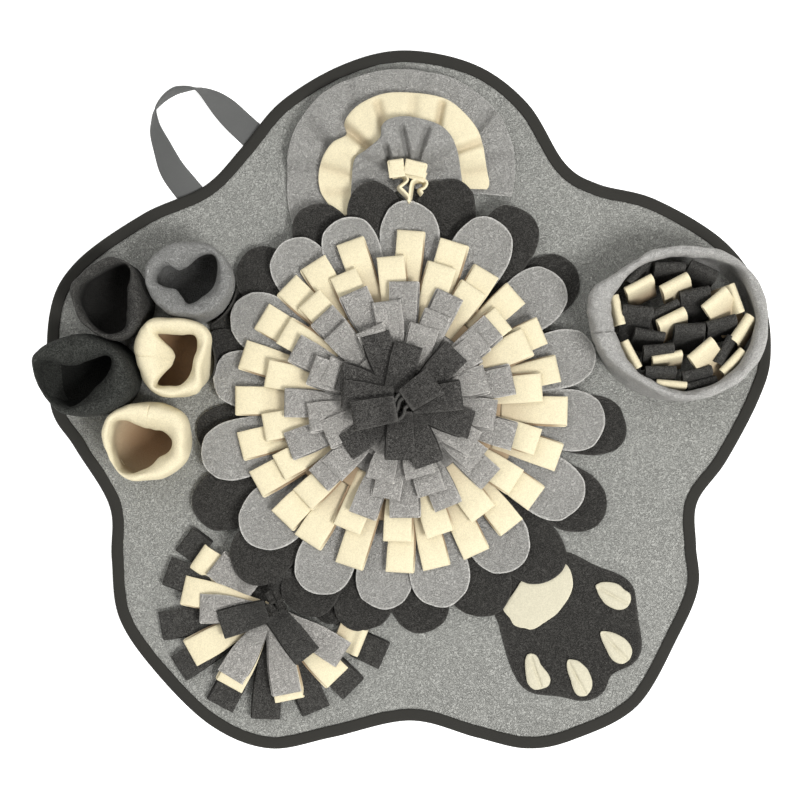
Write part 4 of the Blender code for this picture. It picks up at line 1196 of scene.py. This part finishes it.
# The paw: a dark patch sewn flat on the lower right lobe, with a cream pad and four cream toes on it.
# Each toe is tucked along its middle, which leaves a crease, and the pad's edge is slightly scalloped.
PAW_THICK = 1.7
PAW_PATCH = (
    (146, -136), (160, -140), (175, -148), (198, -157), (209, -167), (212, -181), (214, -197), (217, -217),
    (215, -229), (207, -238), (190, -246), (184, -260), (176, -267), (162, -270), (142, -266), (119, -263),
    (107, -254), (98, -236), (92, -216), (88, -200), (84, -190), (82, -164), (104, -138),
)
PAW_PAD = (
    (92, -185), (94, -191), (98, -195), (101, -201), (107, -204), (112, -204.5), (116, -206), (122, -204.5),
    (128, -200.5), (134, -196.5), (140, -192), (146, -185), (152, -176), (155, -167), (154.5, -159),
    (152, -151), (146, -145), (133, -143), (121, -148), (112, -156), (107, -164), (101, -173),
)
PAW_TOES = (                   # outline, and both ends of the tuck
    (((174.7, -165.8), (180, -163), (187, -162.5), (195, -164.5), (201, -169.5), (206, -173), (207, -179),
      (204, -185), (198.5, -188), (192, -187.5), (184, -183), (178, -175.5), (175.5, -169.5)),
     (178, -168), (203, -182)),
    (((179.2, -207.2), (187, -207), (196, -210), (204, -216), (208, -223), (207, -230), (202, -235.5),
      (197, -236.5), (190, -233), (184.5, -224), (180, -214)), (181, -209), (203, -232)),
    (((149.8, -232.6), (155, -232), (161, -234), (168, -241), (172, -250), (172, -257), (168, -264),
      (161, -265.5), (156, -261.5), (152.5, -251), (149.5, -242)), (151, -235), (166, -263)),
    (((113.4, -228), (119, -226.7), (123.6, -230), (126.5, -237), (132.4, -244), (135, -250.5),
      (132.4, -256.5), (126.5, -259), (120, -259.5), (114.7, -255), (112.4, -247), (111.6, -236)),
     (117, -230), (126, -256)),
)
PATCH_GRID = (30, 30)
PAD_GRID = (24, 24)
PATCH_RIPPLE = 0.25
PAD_THICK = 1.8
PAD_CROWN = 1.5
PAD_RIPPLE = 0.2
TOE_CROWN = 2.4
TUCK_DEPTH = 2.6
TUCK_WIDTH = 1.1


def patch_height(x, y, share):
    return ON_MAT + PAW_THICK + PATCH_RIPPLE * ripple(x, y, 20, 5.5)


def pad_height(crown, start=None, end=None):
    """Height of a pad that is crowned in its middle, sewn down at its edge and tucked along a line."""
    def height(x, y, share):
        rise = crown * (1 - share ** 3) ** 0.6
        if start:
            rise -= TUCK_DEPTH * math.exp(-(away_from(x, y, *start, *end) / TUCK_WIDTH) ** 2)
        return ON_MAT + PAW_THICK + PAD_THICK + rise + PAD_RIPPLE * ripple(x, y, 7, 2.2)
    return height


patch_shape = new_cloth()
lay(patch_shape, *PATCH_GRID, cut_out(PAW_PATCH, (152, -205), patch_height))
sew("paw_cloth", patch_shape, "paw_patch", "dark_fleece", dark_fleece, PAW_THICK, (134, 136), "laid",
    area=13300)

pad_fleece = fleece("pad_fleece", (0.54, 0.505, 0.385), contrast=0.07, relief=0.25, sheen=0.05, edge_tint=1.5)

pad_shape = new_cloth()
lay(pad_shape, *PAD_GRID, cut_out(PAW_PAD, (126, -176), pad_height(PAD_CROWN)))
sew("paw_cloth_pad", pad_shape, "paw_pad", "cream_fleece", pad_fleece, PAD_THICK, (64, 64), "laid",
    rests_on=("paw_patch",), area=2500)

for number, (outline, start, end) in enumerate(PAW_TOES, 1):
    middle = sum((Vector(point) for point in outline), Vector((0, 0))) / len(outline)
    toe_shape = new_cloth()
    lay(toe_shape, *PAD_GRID, cut_out(outline, middle, pad_height(TOE_CROWN, start, end)))
    sew(f"paw_cloth_toe_{number}", toe_shape, f"paw_toe_{number}", "cream_fleece", pad_fleece, PAD_THICK,
        (34, 33), "laid", rests_on=("paw_patch",), area=620)
